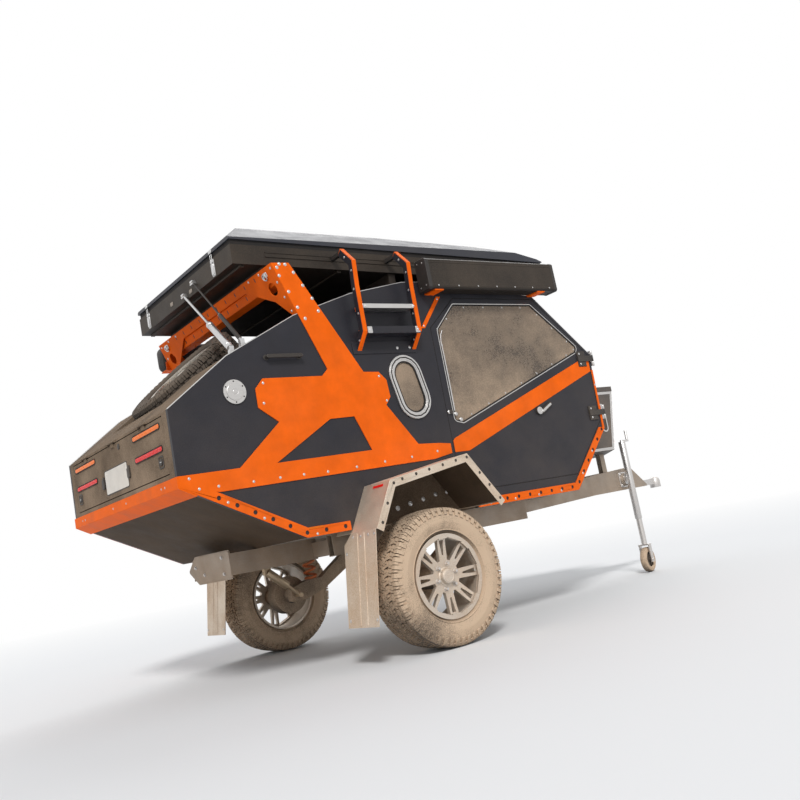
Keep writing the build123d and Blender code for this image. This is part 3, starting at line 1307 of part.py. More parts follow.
with BuildPart() as jockey_wheel:
    with BuildSketch(wheel_middle):
        Circle(JOCKEY_R)
        Circle(WHEEL_PIN_R + RUNNING, mode=Mode.SUBTRACT)
    extrude(amount=JOCKEY_W / 2, both=True)
    rims = jockey_wheel.edges().filter_by(GeomType.CIRCLE).group_by(SortBy.RADIUS)[-1]
    chamfer(rims, 12)
save(jockey_wheel, "jockey_wheel")

# Inside the cabin: rear bulkhead, bed board and mattress
BULKHEAD_X = -215.0
BED_Z = 1058.0
BED_FOOT = RAIL_TOP + WALL + SEAT
BOARD = 18.0
BED_FRONT = 1690.0
DECK_OVER = 2055.0          # bulkhead's upper edge
with BuildPart() as cabin_boards:
    with BuildSketch(station(BULKHEAD_X)):
        outline([(-TUB_Y + 8, BED_FOOT), (TUB_Y - 8, BED_FOOT), (TUB_Y - 8, BED_Z), (SIDE_IN, BED_Z),
                 (SIDE_IN, DECK_OVER), (-SIDE_IN, DECK_OVER), (-SIDE_IN, BED_Z),
                 (-TUB_Y + 8, BED_Z)])
    extrude(amount=BOARD)
    with BuildSketch(upright(0)):
        outline([(BULKHEAD_X, BED_Z), (BED_FRONT, BED_Z), (BED_FRONT, BED_Z + BOARD),
                 (BULKHEAD_X, BED_Z + BOARD)])
    extrude(amount=SIDE_IN - GAP, both=True)
    with BuildSketch(upright(0)):
        for x in (400, 1100):
            outline([(x, BED_FOOT), (x + BOARD, BED_FOOT), (x + BOARD, BED_Z), (x, BED_Z)])
    extrude(amount=TUB_Y - 20, both=True)
save(cabin_boards, "cabin_boards")

with BuildPart() as mattress:
    with BuildSketch(level(BED_Z + BOARD + SEAT)):
        with Locations(((BULKHEAD_X + BOARD + BED_FRONT) / 2, 0)):
            RectangleRounded(BED_FRONT - BULKHEAD_X - 60, 2 * SIDE_IN - 40, 60)
    extrude(amount=120)
save(mattress, "mattress")
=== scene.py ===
"""Finishes, fine pieces and a plain studio for the off-road teardrop trailer."""

import math

import bmesh
import bpy
from bpy.props import FloatProperty, FloatVectorProperty, IntProperty, PointerProperty
from mathutils import Matrix, Vector, noise


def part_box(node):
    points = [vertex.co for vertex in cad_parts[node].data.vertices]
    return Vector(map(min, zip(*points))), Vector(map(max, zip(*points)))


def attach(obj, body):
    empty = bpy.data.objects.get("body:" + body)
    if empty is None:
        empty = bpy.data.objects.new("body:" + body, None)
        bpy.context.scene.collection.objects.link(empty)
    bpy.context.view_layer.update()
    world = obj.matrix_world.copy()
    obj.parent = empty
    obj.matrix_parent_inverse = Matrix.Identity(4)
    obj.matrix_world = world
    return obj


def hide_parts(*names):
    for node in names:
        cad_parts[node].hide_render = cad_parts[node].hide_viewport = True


bl_info = {
    "name": "Off-road Teardrop Trailer",
    "version": (1, 0, 0),
    "blender": (4, 5, 0),
    "location": "3D View > Sidebar > Trailer",
    "description": "Dresses the packed trailer with its finishes, fine pieces and a studio",
    "category": "Add Mesh",
}

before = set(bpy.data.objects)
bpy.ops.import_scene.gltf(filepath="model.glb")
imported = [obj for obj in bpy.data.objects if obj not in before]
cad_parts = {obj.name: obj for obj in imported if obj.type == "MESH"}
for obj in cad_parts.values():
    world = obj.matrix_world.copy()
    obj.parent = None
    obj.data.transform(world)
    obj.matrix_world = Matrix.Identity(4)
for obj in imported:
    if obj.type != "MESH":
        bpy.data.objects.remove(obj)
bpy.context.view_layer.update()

# Places, metres, read from the frame. +X runs forward, +Y to the left, +Z up.
SIDES = [("right", -1), ("left", 1)]


def low(node):
    """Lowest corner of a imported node's box."""
    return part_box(node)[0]


def high(node):
    """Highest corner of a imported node's box."""
    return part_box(node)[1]


def middle(node):
    """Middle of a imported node's box."""
    return (low(node) + high(node)) / 2


AXLE = middle("tyre_right")
SIDE = high("side_left").y          # outside of a side panel from the centre plane
PLATE_FACE = high("frame_left").y   # outside of the orange frame plates
MM = 0.001


def at(x, y, z):
    """Point given in millimetres: x forward from the axle, y to the left, z up."""
    return Vector((AXLE.x + x * MM, y * MM, z * MM))


def mm(x, y, z=0.0):
    """Vector given in millimetres."""
    return Vector((x * MM, y * MM, z * MM))


def moved(x, y, z=0.0):
    """Shift given in millimetres."""
    return Matrix.Translation(mm(x, y, z))


def turned(origin, normal):
    """Place whose z points along normal."""
    return Matrix.Translation(origin) @ Vector(normal).to_track_quat("Z", "Y").to_matrix().to_4x4()


def framed(origin, x_axis, y_axis, z_axis):
    """Place with its three axes given."""
    return Matrix.Translation(origin) @ Matrix((x_axis, y_axis, z_axis)).transposed().to_4x4()


def on_side(sign, x, out, z):
    """Place on a side panel: its x runs forward, y up and z outward."""
    return framed(at(x, sign * (SIDE / MM + out), z), (1, 0, 0), (0, 0, 1), (0, sign, 0))


def on_rear(x, y, z):
    """Place on a face that looks to the rear: its x runs to the left, y up and z backward."""
    return framed(at(x, y, z), (0, 1, 0), (0, 0, 1), (-1, 0, 0))


def on_front(x, y, z):
    """Place on a face that looks forward: its x runs to the left, y up and z forward."""
    return framed(at(x, y, z), (0, 1, 0), (0, 0, 1), (1, 0, 0))


def polar(radius, angle, height):
    """Point at an angle about z, in metres."""
    return Vector((radius * math.cos(angle), radius * math.sin(angle), height))


# Mesh helpers: each add_ function adds closed forms to a bmesh


def new_meshes(count):
    """Empty bmeshes for pieces that are filled side by side."""
    return [bmesh.new() for _ in range(count)]


def add_loops(bm, loops, closed=False):
    """Skin between loops of equal count; the first and last are capped, or joined if closed."""
    rings = [[bm.verts.new(p) for p in loop] for loop in loops]
    for ring, after in zip(rings, rings[1:] + (rings[:1] if closed else [])):
        for i in range(len(ring)):
            j = (i + 1) % len(ring)
            bm.faces.new((ring[i], ring[j], after[j], after[i]))
    if not closed:
        bm.faces.new(reversed(rings[0]))
        bm.faces.new(rings[-1])


def add_prism(bm, points, run):
    """Closed prism from a flat loop of points, carried along run."""
    add_loops(bm, [points, [p + run for p in points]])


def add_block(bm, place, size):
    """Box centred on a place matrix."""
    half = Vector(size) / 2
    foot = [place @ Vector((sx * half.x, sy * half.y, -half.z))
            for sx, sy in ((-1, -1), (1, -1), (1, 1), (-1, 1))]
    add_prism(bm, foot, place.to_3x3() @ Vector((0, 0, size[2])))


def add_lathe(bm, profile, place, segments):
    """Turned form about the place's z: profile rows are (radius, height)."""
    rings = []
    for radius, height in profile:
        if radius < 1e-6:
            rings.append([bm.verts.new(place @ Vector((0, 0, height)))])
            continue
        rings.append([bm.verts.new(place @ polar(radius, 2 * math.pi * k / segments, height))
                      for k in range(segments)])
    for ring, after in zip(rings, rings[1:]):
        for k in range(segments):
            n = (k + 1) % segments
            if len(ring) == 1 and len(after) == 1:
                continue
            if len(ring) == 1:
                bm.faces.new((ring[0], after[n], after[k]))
            elif len(after) == 1:
                bm.faces.new((ring[k], ring[n], after[0]))
            else:
                bm.faces.new((ring[k], ring[n], after[n], after[k]))
    for ring, flip in ((rings[0], True), (rings[-1], False)):
        if len(ring) > 1:
            bm.faces.new(reversed(ring) if flip else ring)


def add_tube(bm, points, radius, sides, closed=False):
    """Round bar along a list of points."""
    count = len(points)
    loops = []
    side = None
    for i, p in enumerate(points):
        before = points[i - 1] if i or closed else points[i]
        after = points[(i + 1) % count] if i < count - 1 or closed else points[i]
        ahead = (after - before).normalized()
        if side is None:
            side = ahead.orthogonal().normalized()
        side = (side - ahead * side.dot(ahead)).normalized()
        up = ahead.cross(side)
        loops.append([p + (side * math.cos(a) + up * math.sin(a)) * radius
                      for a in (2 * math.pi * k / sides for k in range(sides))])
    add_loops(bm, loops, closed)


def add_ring(bm, section, place, segments, start=0.0, end=None, skew=0.0):
    """Turned form of a closed section of (radius, height) rows, all round or between two angles."""
    whole = end is None
    end = start + 2 * math.pi if whole else end
    loops = []
    for k in range(segments if whole else segments + 1):
        angle = start + (end - start) * k / segments
        loops.append([place @ polar(r, angle + skew * h, h) for r, h in section])
    add_loops(bm, loops, closed=whole)


def add_bolt(bm, place, radius, tall):
    """Domed bolt head on a thin washer, sized in millimetres."""
    profile = [(1.35, 0), (1.35, 0.22), (1, 0.24), (0.98, 0.6), (0.72, 0.92), (0.42, 1),
               (0.36, 0.7), (0, 0.7)]
    add_lathe(bm, flat([(r * radius, h * tall) for r, h in profile]), place, 12)


def add_hex_nut(bm, place, radius, tall):
    """Six-sided nut with a domed end, on a cone seat, sized in millimetres."""
    for profile, segments in (([(1.3, 0), (1.25, 0.25)], 18),
                              ([(1, 0.2), (1, 0.8), (0.8, 1), (0, 1.04)], 6)):
        add_lathe(bm, flat([(r * radius, h * tall) for r, h in profile]), place, segments)


def rounded_box(bm, place, size, edge, cuts):
    """Round-edged closed box on an even grid, in an empty bmesh; gives each vertex's cube place."""
    bmesh.ops.create_cube(bm, size=2.0)
    bmesh.ops.subdivide_edges(bm, edges=bm.edges[:], cuts=cuts, use_grid_fill=True)
    half = Vector(size) / 2
    cube = {}
    for v in bm.verts:
        u = v.co.copy()
        cube[v] = u
        q = Vector((u.x * half.x, u.y * half.y, u.z * half.z))
        inner = Vector([max(-h + edge, min(h - edge, c)) for c, h in zip(q, half)])
        out = q - inner
        v.co = place @ (inner + (out.normalized() * edge if out.length else out))
    return cube


def grown(loop, by):
    """Flat loop moved outward by a distance, mitred at its corners."""
    turn = sum(a.x * b.y - b.x * a.y for a, b in zip(loop, loop[1:] + loop[:1]))
    out = 1 if turn > 0 else -1
    made = []
    for before, corner, after in zip(loop[-1:] + loop[:-1], loop, loop[1:] + loop[:1]):
        first, second = (corner - before).normalized(), (after - corner).normalized()
        mitre = Vector((first.y + second.y, -first.x - second.x)) * out
        made.append(corner + mitre * (2 * by / mitre.dot(mitre)))
    return made


def rounded(loop, radius, steps=5):
    """Flat loop with each corner turned into an arc."""
    made = []
    for before, corner, after in zip(loop[-1:] + loop[:-1], loop, loop[1:] + loop[:1]):
        first, second = (before - corner).normalized(), (after - corner).normalized()
        half = first.angle(second) / 2
        centre = corner + (first + second).normalized() * radius / math.sin(half)
        reach = radius / math.tan(half)
        start, end = corner + first * reach - centre, corner + second * reach - centre
        made += [centre + start.lerp(end, k / steps).normalized() * radius
                 for k in range(steps + 1)]
    return made


def flat(rows):
    """Flat loop from rows in millimetres."""
    return [Vector(row) * MM for row in rows]


def box_loop(long, wide, radius):
    """Rectangle about the middle, in millimetres, with round corners."""
    corners = flat([(-long / 2, -wide / 2), (long / 2, -wide / 2), (long / 2, wide / 2),
                    (-long / 2, wide / 2)])
    return rounded(corners, radius * MM, 4)


def slot_loop(long, wide, lean=0.0):
    """Slot with round ends about the middle, in millimetres, leaning by degrees."""
    steps = 8
    turn = Matrix.Rotation(math.radians(lean), 2)
    loop = []
    for end in (1, -1):
        for k in range(steps + 1):
            angle = math.pi * (k / steps - 0.5)
            arc = Vector((math.cos(angle), math.sin(angle))) * (wide / 2)
            loop.append(turn @ (Vector(((long - wide) / 2, 0)) + arc) * end * MM)
    return loop


def raised(place, rows):
    """Loops at heights in millimetres above a place."""
    return [[place @ Vector((p.x, p.y, height * MM)) for p in loop] for loop, height in rows]


def add_pad(bm, loop, place, tall, edge, foot=0.0):
    """Raised pad on a flat loop, its upper edge bevelled; heights in millimetres."""
    rows = [(loop, foot), (loop, tall - edge), (grown(loop, -edge * MM), tall)]
    add_loops(bm, raised(place, rows))


def add_band(bm, outer, inner, place, low_side, high_side):
    """Flat closed band between two loops of equal count; heights in millimetres."""
    rows = [(outer, low_side), (outer, high_side), (inner, high_side), (inner, low_side)]
    add_loops(bm, raised(place, rows), closed=True)


def add_wire_loop(bm, place, near, far, above):
    """Wire of a toggle latch, between two heights up its face, in millimetres."""
    corners = [(-9, near), (-9, far), (9, far), (9, near)]
    add_tube(bm, [place @ mm(x, y, above) for x, y in corners], 2.4 * MM, 8)


def along(loop, pitch):
    """Points spread along a flat loop at about a pitch in millimetres."""
    spots = []
    for a, b in zip(loop, loop[1:] + loop[:1]):
        count = max(1, round((b - a).length / MM / pitch))
        spots += [a.lerp(b, (k + 0.5) / count) for k in range(count)]
    return spots


# Slot in the record and finish that many small pieces share
ZINC = ("zinc_bright", "bright_zinc")
MOULDING = ("black_plastic", "black_moulding")
PALE_TRIM = ("pale_trim", "pale_metal")
SEAL = ("rubber_black", "seal_rubber")
TENT_TRIM = ("tent_black", "tent_coat")


def make_piece(name, bm, kind, bevel=0.0, body="chassis", sharp=35.0):
    """Object from a bmesh in the row frame: kind holds a slot, which is not used, and the finish it
    takes; bevel in millimetres.
    """
    slot, finish = kind
    bmesh.ops.recalc_face_normals(bm, faces=bm.faces)
    mesh = bpy.data.meshes.new(name)
    bm.to_mesh(mesh)
    bm.free()
    mesh.shade_smooth()
    mesh.set_sharp_from_angle(angle=math.radians(sharp))
    piece = bpy.data.objects.new(name, mesh)
    bpy.context.scene.collection.objects.link(piece)
    mesh.materials.append(bpy.data.materials[finish])
    if bevel:
        soften(piece, bevel)
    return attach(piece, body)


def soften(piece, width, segments=2):
    """Small round along a piece's edges, its width in millimetres."""
    edge = piece.modifiers.new("soft_edges", "BEVEL")
    edge.width = width * MM
    edge.segments = segments
    edge.limit_method = "ANGLE"
    edge.angle_limit = math.radians(30)
    edge.harden_normals = True


# Shader helpers


def feed(tree, socket, value):
    """Join a socket to another one, or set its own value."""
    if isinstance(value, bpy.types.NodeSocket):
        tree.links.new(value, socket)
    else:
        socket.default_value = value


def node(tree, kind, inputs=None, **settings):
    """Node of a kind, with its settings, and its inputs set or joined."""
    made = tree.nodes.new("ShaderNode" + kind)
    for key, value in settings.items():
        setattr(made, key, value)
    for key, value in (inputs or {}).items():
        feed(tree, made.inputs[key], value)
    return made


def maths(tree, operation, a, b=0.0, clamp=False):
    """Sum, product or other operation on two values."""
    return node(tree, "Math", {0: a, 1: b}, operation=operation, use_clamp=clamp).outputs[0]


def span(tree, value, low_end, high_end, to_low=0.0, to_high=1.0):
    """Value moved from one range to another and held inside it."""
    return node(tree, "MapRange", {"Value": value, "From Min": low_end, "From Max": high_end,
                                   "To Min": to_low, "To Max": to_high}).outputs["Result"]


def mixed(tree, factor, a, b):
    """Colour a turned towards colour b."""
    made = node(tree, "Mix", data_type="RGBA", blend_type="MIX")
    for place, value in ((0, factor), (6, a), (7, b)):
        feed(tree, made.inputs[place], value)
    return made.outputs[2]


def new_group(name, inputs, outputs):
    """Empty node group with named float inputs and outputs."""
    tree = bpy.data.node_groups.new(name, "ShaderNodeTree")
    for label, default in inputs.items():
        socket = tree.interface.new_socket(label, in_out="INPUT", socket_type="NodeSocketFloat")
        socket.default_value = default
    for label in outputs:
        tree.interface.new_socket(label, in_out="OUTPUT", socket_type="NodeSocketFloat")
    enter = tree.nodes.new("NodeGroupInput")
    leave = tree.nodes.new("NodeGroupOutput")
    return tree, enter.outputs, leave.inputs


def grouped(tree, name, **values):
    """Node group placed in a material with its own values."""
    made = tree.nodes.new("ShaderNodeGroup")
    made.node_tree = bpy.data.node_groups[name]
    for key, value in values.items():
        feed(tree, made.inputs[key.capitalize()], value)
    return made.outputs


def object_place(tree):
    """Place in the object, which is the row frame in metres."""
    return node(tree, "TexCoord").outputs["Object"]


def build_groups():
    """Effects that several finishes share."""
    # Mask along outer edges, broken up by noise
    tree, enter, leave = new_group("edge_wear", {"Radius": 0.0016, "Amount": 0.6, "Scale": 40.0},
                                   ["Mask"])
    softened = node(tree, "Bevel", {"Radius": enter["Radius"]}, samples=4).outputs[0]
    normal = node(tree, "NewGeometry").outputs["Normal"]
    facing = node(tree, "VectorMath", {0: softened, 1: normal},
                  operation="DOT_PRODUCT").outputs["Value"]
    edge = span(tree, facing, 0.995, 0.86)
    broken = node(tree, "TexNoise", {"Vector": object_place(tree), "Scale": enter["Scale"],
                                     "Detail": 5.0, "Roughness": 0.6}).outputs["Fac"]
    worn = maths(tree, "MULTIPLY", edge, span(tree, broken, 0.42, 0.62))
    tree.links.new(maths(tree, "MULTIPLY", worn, enter["Amount"], clamp=True), leave["Mask"])

    # Dust that is thick low down and thins out upward, in clouds and specks
    tree, enter, leave = new_group("road_dust", {"Full": 0.3, "Clear": 1.6, "Amount": 0.6,
                                                 "Trace": 0.1, "Scale": 3.0}, ["Mask"])
    place = object_place(tree)
    height = node(tree, "SeparateXYZ", {0: place}).outputs["Z"]
    fade = span(tree, height, enter["Full"], enter["Clear"], 1.0, 0.0)
    cloud = node(tree, "TexNoise", {"Vector": place, "Scale": enter["Scale"], "Detail": 8.0,
                                    "Roughness": 0.62}).outputs["Fac"]
    speck = node(tree, "TexNoise", {"Vector": place, "Scale": 160.0, "Detail": 3.0}).outputs["Fac"]
    thick = maths(tree, "ADD", span(tree, cloud, 0.3, 0.7, 0.25, 1.0),
                  span(tree, speck, 0.4, 0.7, -0.1, 0.25))
    lower = maths(tree, "MULTIPLY", maths(tree, "MULTIPLY", fade, thick), enter["Amount"])
    trace = maths(tree, "MULTIPLY", enter["Trace"], thick)
    facing = node(tree, "SeparateXYZ", {0: node(tree, "TexCoord").outputs["Normal"]}).outputs["Z"]
    # Faces that look down stay cleaner
    held = span(tree, facing, -0.9, -0.1, 0.12, 1.0)
    both = maths(tree, "MULTIPLY", maths(tree, "ADD", lower, trace), held, clamp=True)
    tree.links.new(both, leave["Mask"])

    # Even grain of a powder coat, casting or moulding
    tree, enter, leave = new_group("fine_grain", {"Scale": 900.0}, ["Height", "Patch"])
    place = object_place(tree)
    tree.links.new(node(tree, "TexNoise", {"Vector": place, "Scale": enter["Scale"],
                                           "Detail": 2.0}).outputs["Fac"], leave["Height"])
    tree.links.new(node(tree, "TexNoise", {"Vector": place, "Scale": 7.0, "Detail": 6.0,
                                           "Roughness": 0.6}).outputs["Fac"], leave["Patch"])

    # Long fine lines of brushed or rolled metal
    tree, enter, leave = new_group("brushed_lines", {"Fine": 900.0, "Long": 8.0}, ["Height"])
    scale = node(tree, "CombineXYZ", {"X": enter["Long"], "Y": enter["Fine"], "Z": enter["Fine"]})
    stretched = node(tree, "VectorMath", {0: object_place(tree), 1: scale.outputs[0]},
                     operation="MULTIPLY")
    tree.links.new(node(tree, "TexNoise", {"Vector": stretched.outputs[0], "Scale": 1.0,
                                           "Detail": 4.0}).outputs["Fac"], leave["Height"])

    # Crossing threads of heavy cloth, and painted shade of its folds
    tree, enter, leave = new_group("woven_cloth", {"Threads": 500.0}, ["Height", "Shade"])
    place = object_place(tree)
    turned_place = node(tree, "VectorRotate", {"Vector": place, "Angle": math.radians(45)},
                        rotation_type="X_AXIS").outputs[0]
    threads = [node(tree, "TexWave", {"Vector": turned_place, "Scale": enter["Threads"],
                                      "Distortion": 0.4}, bands_direction=axis).outputs["Fac"]
               for axis in ("X", "Y", "Z")]
    crossed = maths(tree, "MAXIMUM", maths(tree, "MULTIPLY", threads[0], threads[1]), threads[2])
    tree.links.new(crossed, leave["Height"])
    # Broad noise that paints the light and shade of folds
    folds = node(tree, "TexNoise", {"Vector": place, "Scale": 5.0, "Detail": 6.0}).outputs["Fac"]
    tree.links.new(folds, leave["Shade"])


def new_finish(name):
    """Empty finish: its node tree and its shader."""
    material = bpy.data.materials.new(name)
    material.use_nodes = True
    return material.node_tree, material.node_tree.nodes["Principled BSDF"]


def rgb(colour, factor=1.0):
    """Colour with its alpha, made lighter or darker by a factor."""
    return (*(channel * factor for channel in colour), 1.0)


def bumped(tree, shader, height, strength):
    """Give a shader relief of up to a millimetre."""
    bump = node(tree, "Bump", {"Height": height, "Strength": strength, "Distance": MM})
    tree.links.new(bump.outputs[0], shader.inputs["Normal"])


def dusted(tree, shader, colour, clean_roughness, dust, full=0.35, clear=1.7, trace=0.08):
    """Lay road dust over a colour, and dull the gloss where it lies."""
    settings = bpy.context.scene.trailer_colours
    mask = grouped(tree, "road_dust", full=full, clear=clear, amount=dust * settings.dust_amount,
                   trace=trace * settings.dust_amount)["Mask"]
    covered = mixed(tree, mask, colour, rgb(settings.dust))
    tree.links.new(covered, shader.inputs["Base Color"])
    rough = maths(tree, "ADD", clean_roughness, maths(tree, "MULTIPLY", mask, 0.6), clamp=True)
    tree.links.new(rough, shader.inputs["Roughness"])


def paint(name, colour, roughness=0.4, dust=0.5, wear=0.0, worn=(0.5, 0.5, 0.5), grain=700.0,
          bump=0.12, specular=0.35, trace=0.08, full=0.35, clear=1.7):
    """Coated metal or moulding: patchy colour, grain, worn edges and road dust."""
    tree, shader = new_finish(name)
    grain_out = grouped(tree, "fine_grain", scale=grain)
    patch = span(tree, grain_out["Patch"], 0.3, 0.7)
    shade = mixed(tree, patch, rgb(colour, 0.88), rgb(colour, 1.12))
    if wear:
        mask = grouped(tree, "edge_wear", amount=wear)["Mask"]
        shade = mixed(tree, mask, shade, rgb(worn))
    gloss = span(tree, grain_out["Patch"], 0.3, 0.7, roughness - 0.05, roughness + 0.08)
    dusted(tree, shader, shade, gloss, dust, full, clear, trace)
    shader.inputs["Specular IOR Level"].default_value = specular
    bumped(tree, shader, grain_out["Height"], bump)


def metal(name, colour, roughness, dust, wear=0.0, worn=(0.2, 0.2, 0.2), trace=0.05, full=0.35,
          clear=1.7):
    """Bare metal with brushed lines, patchy gloss and dust."""
    tree, shader = new_finish(name)
    lines = grouped(tree, "brushed_lines")["Height"]
    patch = grouped(tree, "fine_grain")["Patch"]
    shade = mixed(tree, span(tree, lines, 0.3, 0.7), rgb(colour, 0.85), rgb(colour, 1.1))
    shade = mixed(tree, span(tree, patch, 0.35, 0.75, 0.0, 0.3), shade, rgb(colour, 0.7))
    if wear:
        mask = grouped(tree, "edge_wear", amount=wear)["Mask"]
        shade = mixed(tree, mask, shade, rgb(worn))
    gloss = span(tree, patch, 0.3, 0.7, roughness - 0.07, roughness + 0.12)
    dusted(tree, shader, shade, gloss, dust, full, clear, trace)
    shader.inputs["Metallic"].default_value = 1.0
    bumped(tree, shader, lines, 0.08)


def rubber(name, colour, dust, trace=0.2):
    """Matt rubber, dustiest low down."""
    tree, shader = new_finish(name)
    grain_out = grouped(tree, "fine_grain", scale=350.0)
    patch = span(tree, grain_out["Patch"], 0.3, 0.7)
    shade = mixed(tree, patch, rgb(colour, 0.8), rgb(colour, 1.3))
    dusted(tree, shader, shade, 0.78, dust, full=0.6, clear=1.5, trace=trace)
    shader.inputs["Specular IOR Level"].default_value = 0.25
    bumped(tree, shader, grain_out["Height"], 0.25)


def cloth(name, colour, threads, sheen):
    """Woven cover: thread relief, painted shade of folds and between threads, and a soft sheen."""
    tree, shader = new_finish(name)
    weave = grouped(tree, "woven_cloth", threads=threads)
    shade = mixed(tree, span(tree, weave["Shade"], 0.3, 0.7), rgb(colour, 0.75), rgb(colour, 1.2))
    # Painted shade: darker down between the threads
    shade = mixed(tree, span(tree, weave["Height"], 0.2, 0.9, 0.35, 0.0), shade, rgb(colour, 0.5))
    dusted(tree, shader, shade, 0.85, dust=0.0)
    shader.inputs["Sheen Weight"].default_value = sheen
    shader.inputs["Specular IOR Level"].default_value = 0.2
    bumped(tree, shader, weave["Height"], 0.3)


def tinted(name, colour, transmission):
    """Tinted acrylic under a film of dust."""
    tree, shader = new_finish(name)
    patch = grouped(tree, "fine_grain")["Patch"]
    shade = mixed(tree, span(tree, patch, 0.3, 0.7), rgb(colour, 0.85), rgb(colour, 1.15))
    dusted(tree, shader, shade, 0.10, dust=0.75, full=1.3, clear=3.2, trace=0.18)
    shader.inputs["Transmission Weight"].default_value = transmission
    shader.inputs["Specular IOR Level"].default_value = 0.35
    shader.inputs["IOR"].default_value = 1.45


def plywood(name, colour):
    """Birch ply with drawn-out grain."""
    tree, shader = new_finish(name)
    place = node(tree, "VectorMath", {0: object_place(tree), 1: (3.0, 30.0, 30.0)},
                 operation="MULTIPLY").outputs[0]
    grain = node(tree, "TexNoise", {"Vector": place, "Scale": 1.5, "Detail": 8.0,
                                    "Distortion": 0.6}).outputs["Fac"]
    shade = mixed(tree, span(tree, grain, 0.35, 0.65), rgb(colour, 0.75), rgb(colour, 1.1))
    tree.links.new(shade, shader.inputs["Base Color"])
    tree.links.new(span(tree, grain, 0.3, 0.7, 0.45, 0.6), shader.inputs["Roughness"])
    bumped(tree, shader, grain, 0.1)


def lens(name, colour, glow):
    """Lamp lens: coloured ribs that shine a little."""
    tree, shader = new_finish(name)
    ribs = node(tree, "TexWave", {"Vector": object_place(tree), "Scale": 60.0},
                bands_direction="Y").outputs["Fac"]
    shade = mixed(tree, ribs, rgb(colour, 0.7), rgb(colour, 1.1))
    tree.links.new(shade, shader.inputs["Base Color"])
    tree.links.new(shade, shader.inputs["Emission Color"])
    shader.inputs["Emission Strength"].default_value = glow
    shader.inputs["Roughness"].default_value = 0.25
    shader.inputs["Specular IOR Level"].default_value = 0.2
    bumped(tree, shader, ribs, 0.2)


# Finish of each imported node
NODE_FINISH = {
    "satin_body": ["side_right", "side_left", "roof_skin", "nose_panel", "door_right", "door_left"],
    "dusty_tail": ["tail_shell", "tail_flap", "rear_deck"],
    "orange_coat": ["frame_right", "frame_left", "roll_beam", "bumper", "awning_brackets",
                    "ladder", "door_stripe_right", "door_stripe_left"],
    "tent_coat": ["tent_tray", "spare_well", "roof_bars", "awning_right"],
    "sky_tinted_lid": ["tent_lid"],
    "fender_plate": ["fender_right", "fender_left", "mudflaps"],
    "galvanised": ["chassis_frame", "floor_pan"],
    "bright_zinc": ["coupling_head", "tent_stays", "jockey_leg", "jockey_stem", "jockey_fork"],
    "box_coat": ["front_box", "box_lid"],
    "road_rubber": ["spare_tyre", "tyre_right", "tyre_left", "jockey_wheel"],
    "seal_rubber": ["tent_seal"],
    "machined_rim": ["spare_rim", "rim_right", "rim_left"],
    "dark_glass": ["porthole_panes", "window_right", "window_left"],
    "black_moulding": ["door_fittings_right", "door_fittings_left"],
    "pale_metal": ["porthole_frames", "side_fittings"],
    "red_lens": ["tail_lamps"],
    "blank_plate": ["plate_and_lamps"],
    "bag_cloth": ["awning_left"],
    "bed_cloth": ["tent_bedding", "mattress"],
    "ply": ["cabin_boards"],
    "coil_paint": ["coil_springs"],
    "damper_metal": ["dampers"],
    "arm_paint": ["trailing_arms", "hub_right", "hub_left"],
}
NODE_ROUND = 1.1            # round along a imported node's edges, millimetres
WELD_REACH = 0.00002        # corners that lie this near are one, metres
# Nodes whose curved surfaces take no extra edge rounding
ROUND_NODES = {"tyre_right", "tyre_left", "spare_tyre", "coil_springs", "jockey_wheel",
               "jockey_stem", "rim_right", "rim_left", "spare_rim"}


class TrailerColours(bpy.types.PropertyGroup):
    """Colours of the trailer's finishes."""

    body: FloatVectorProperty(name="Body", description="Satin paint of the body panels",
                              subtype="COLOR", default=(0.018, 0.019, 0.026))
    orange: FloatVectorProperty(name="Orange", description="Powder coat of the frame and stripes",
                                subtype="COLOR", default=(0.84, 0.125, 0.004))
    tent: FloatVectorProperty(name="Tent", description="Textured coat of the roof tent",
                              subtype="COLOR", default=(0.017, 0.014, 0.012))
    dust: FloatVectorProperty(name="Dust", description="Colour of the road dust",
                              subtype="COLOR", default=(0.58, 0.43, 0.30))
    dust_amount: FloatProperty(name="Dust amount", description="How much dust lies on the trailer",
                               default=1.0, min=0.0, max=2.0, subtype="FACTOR")


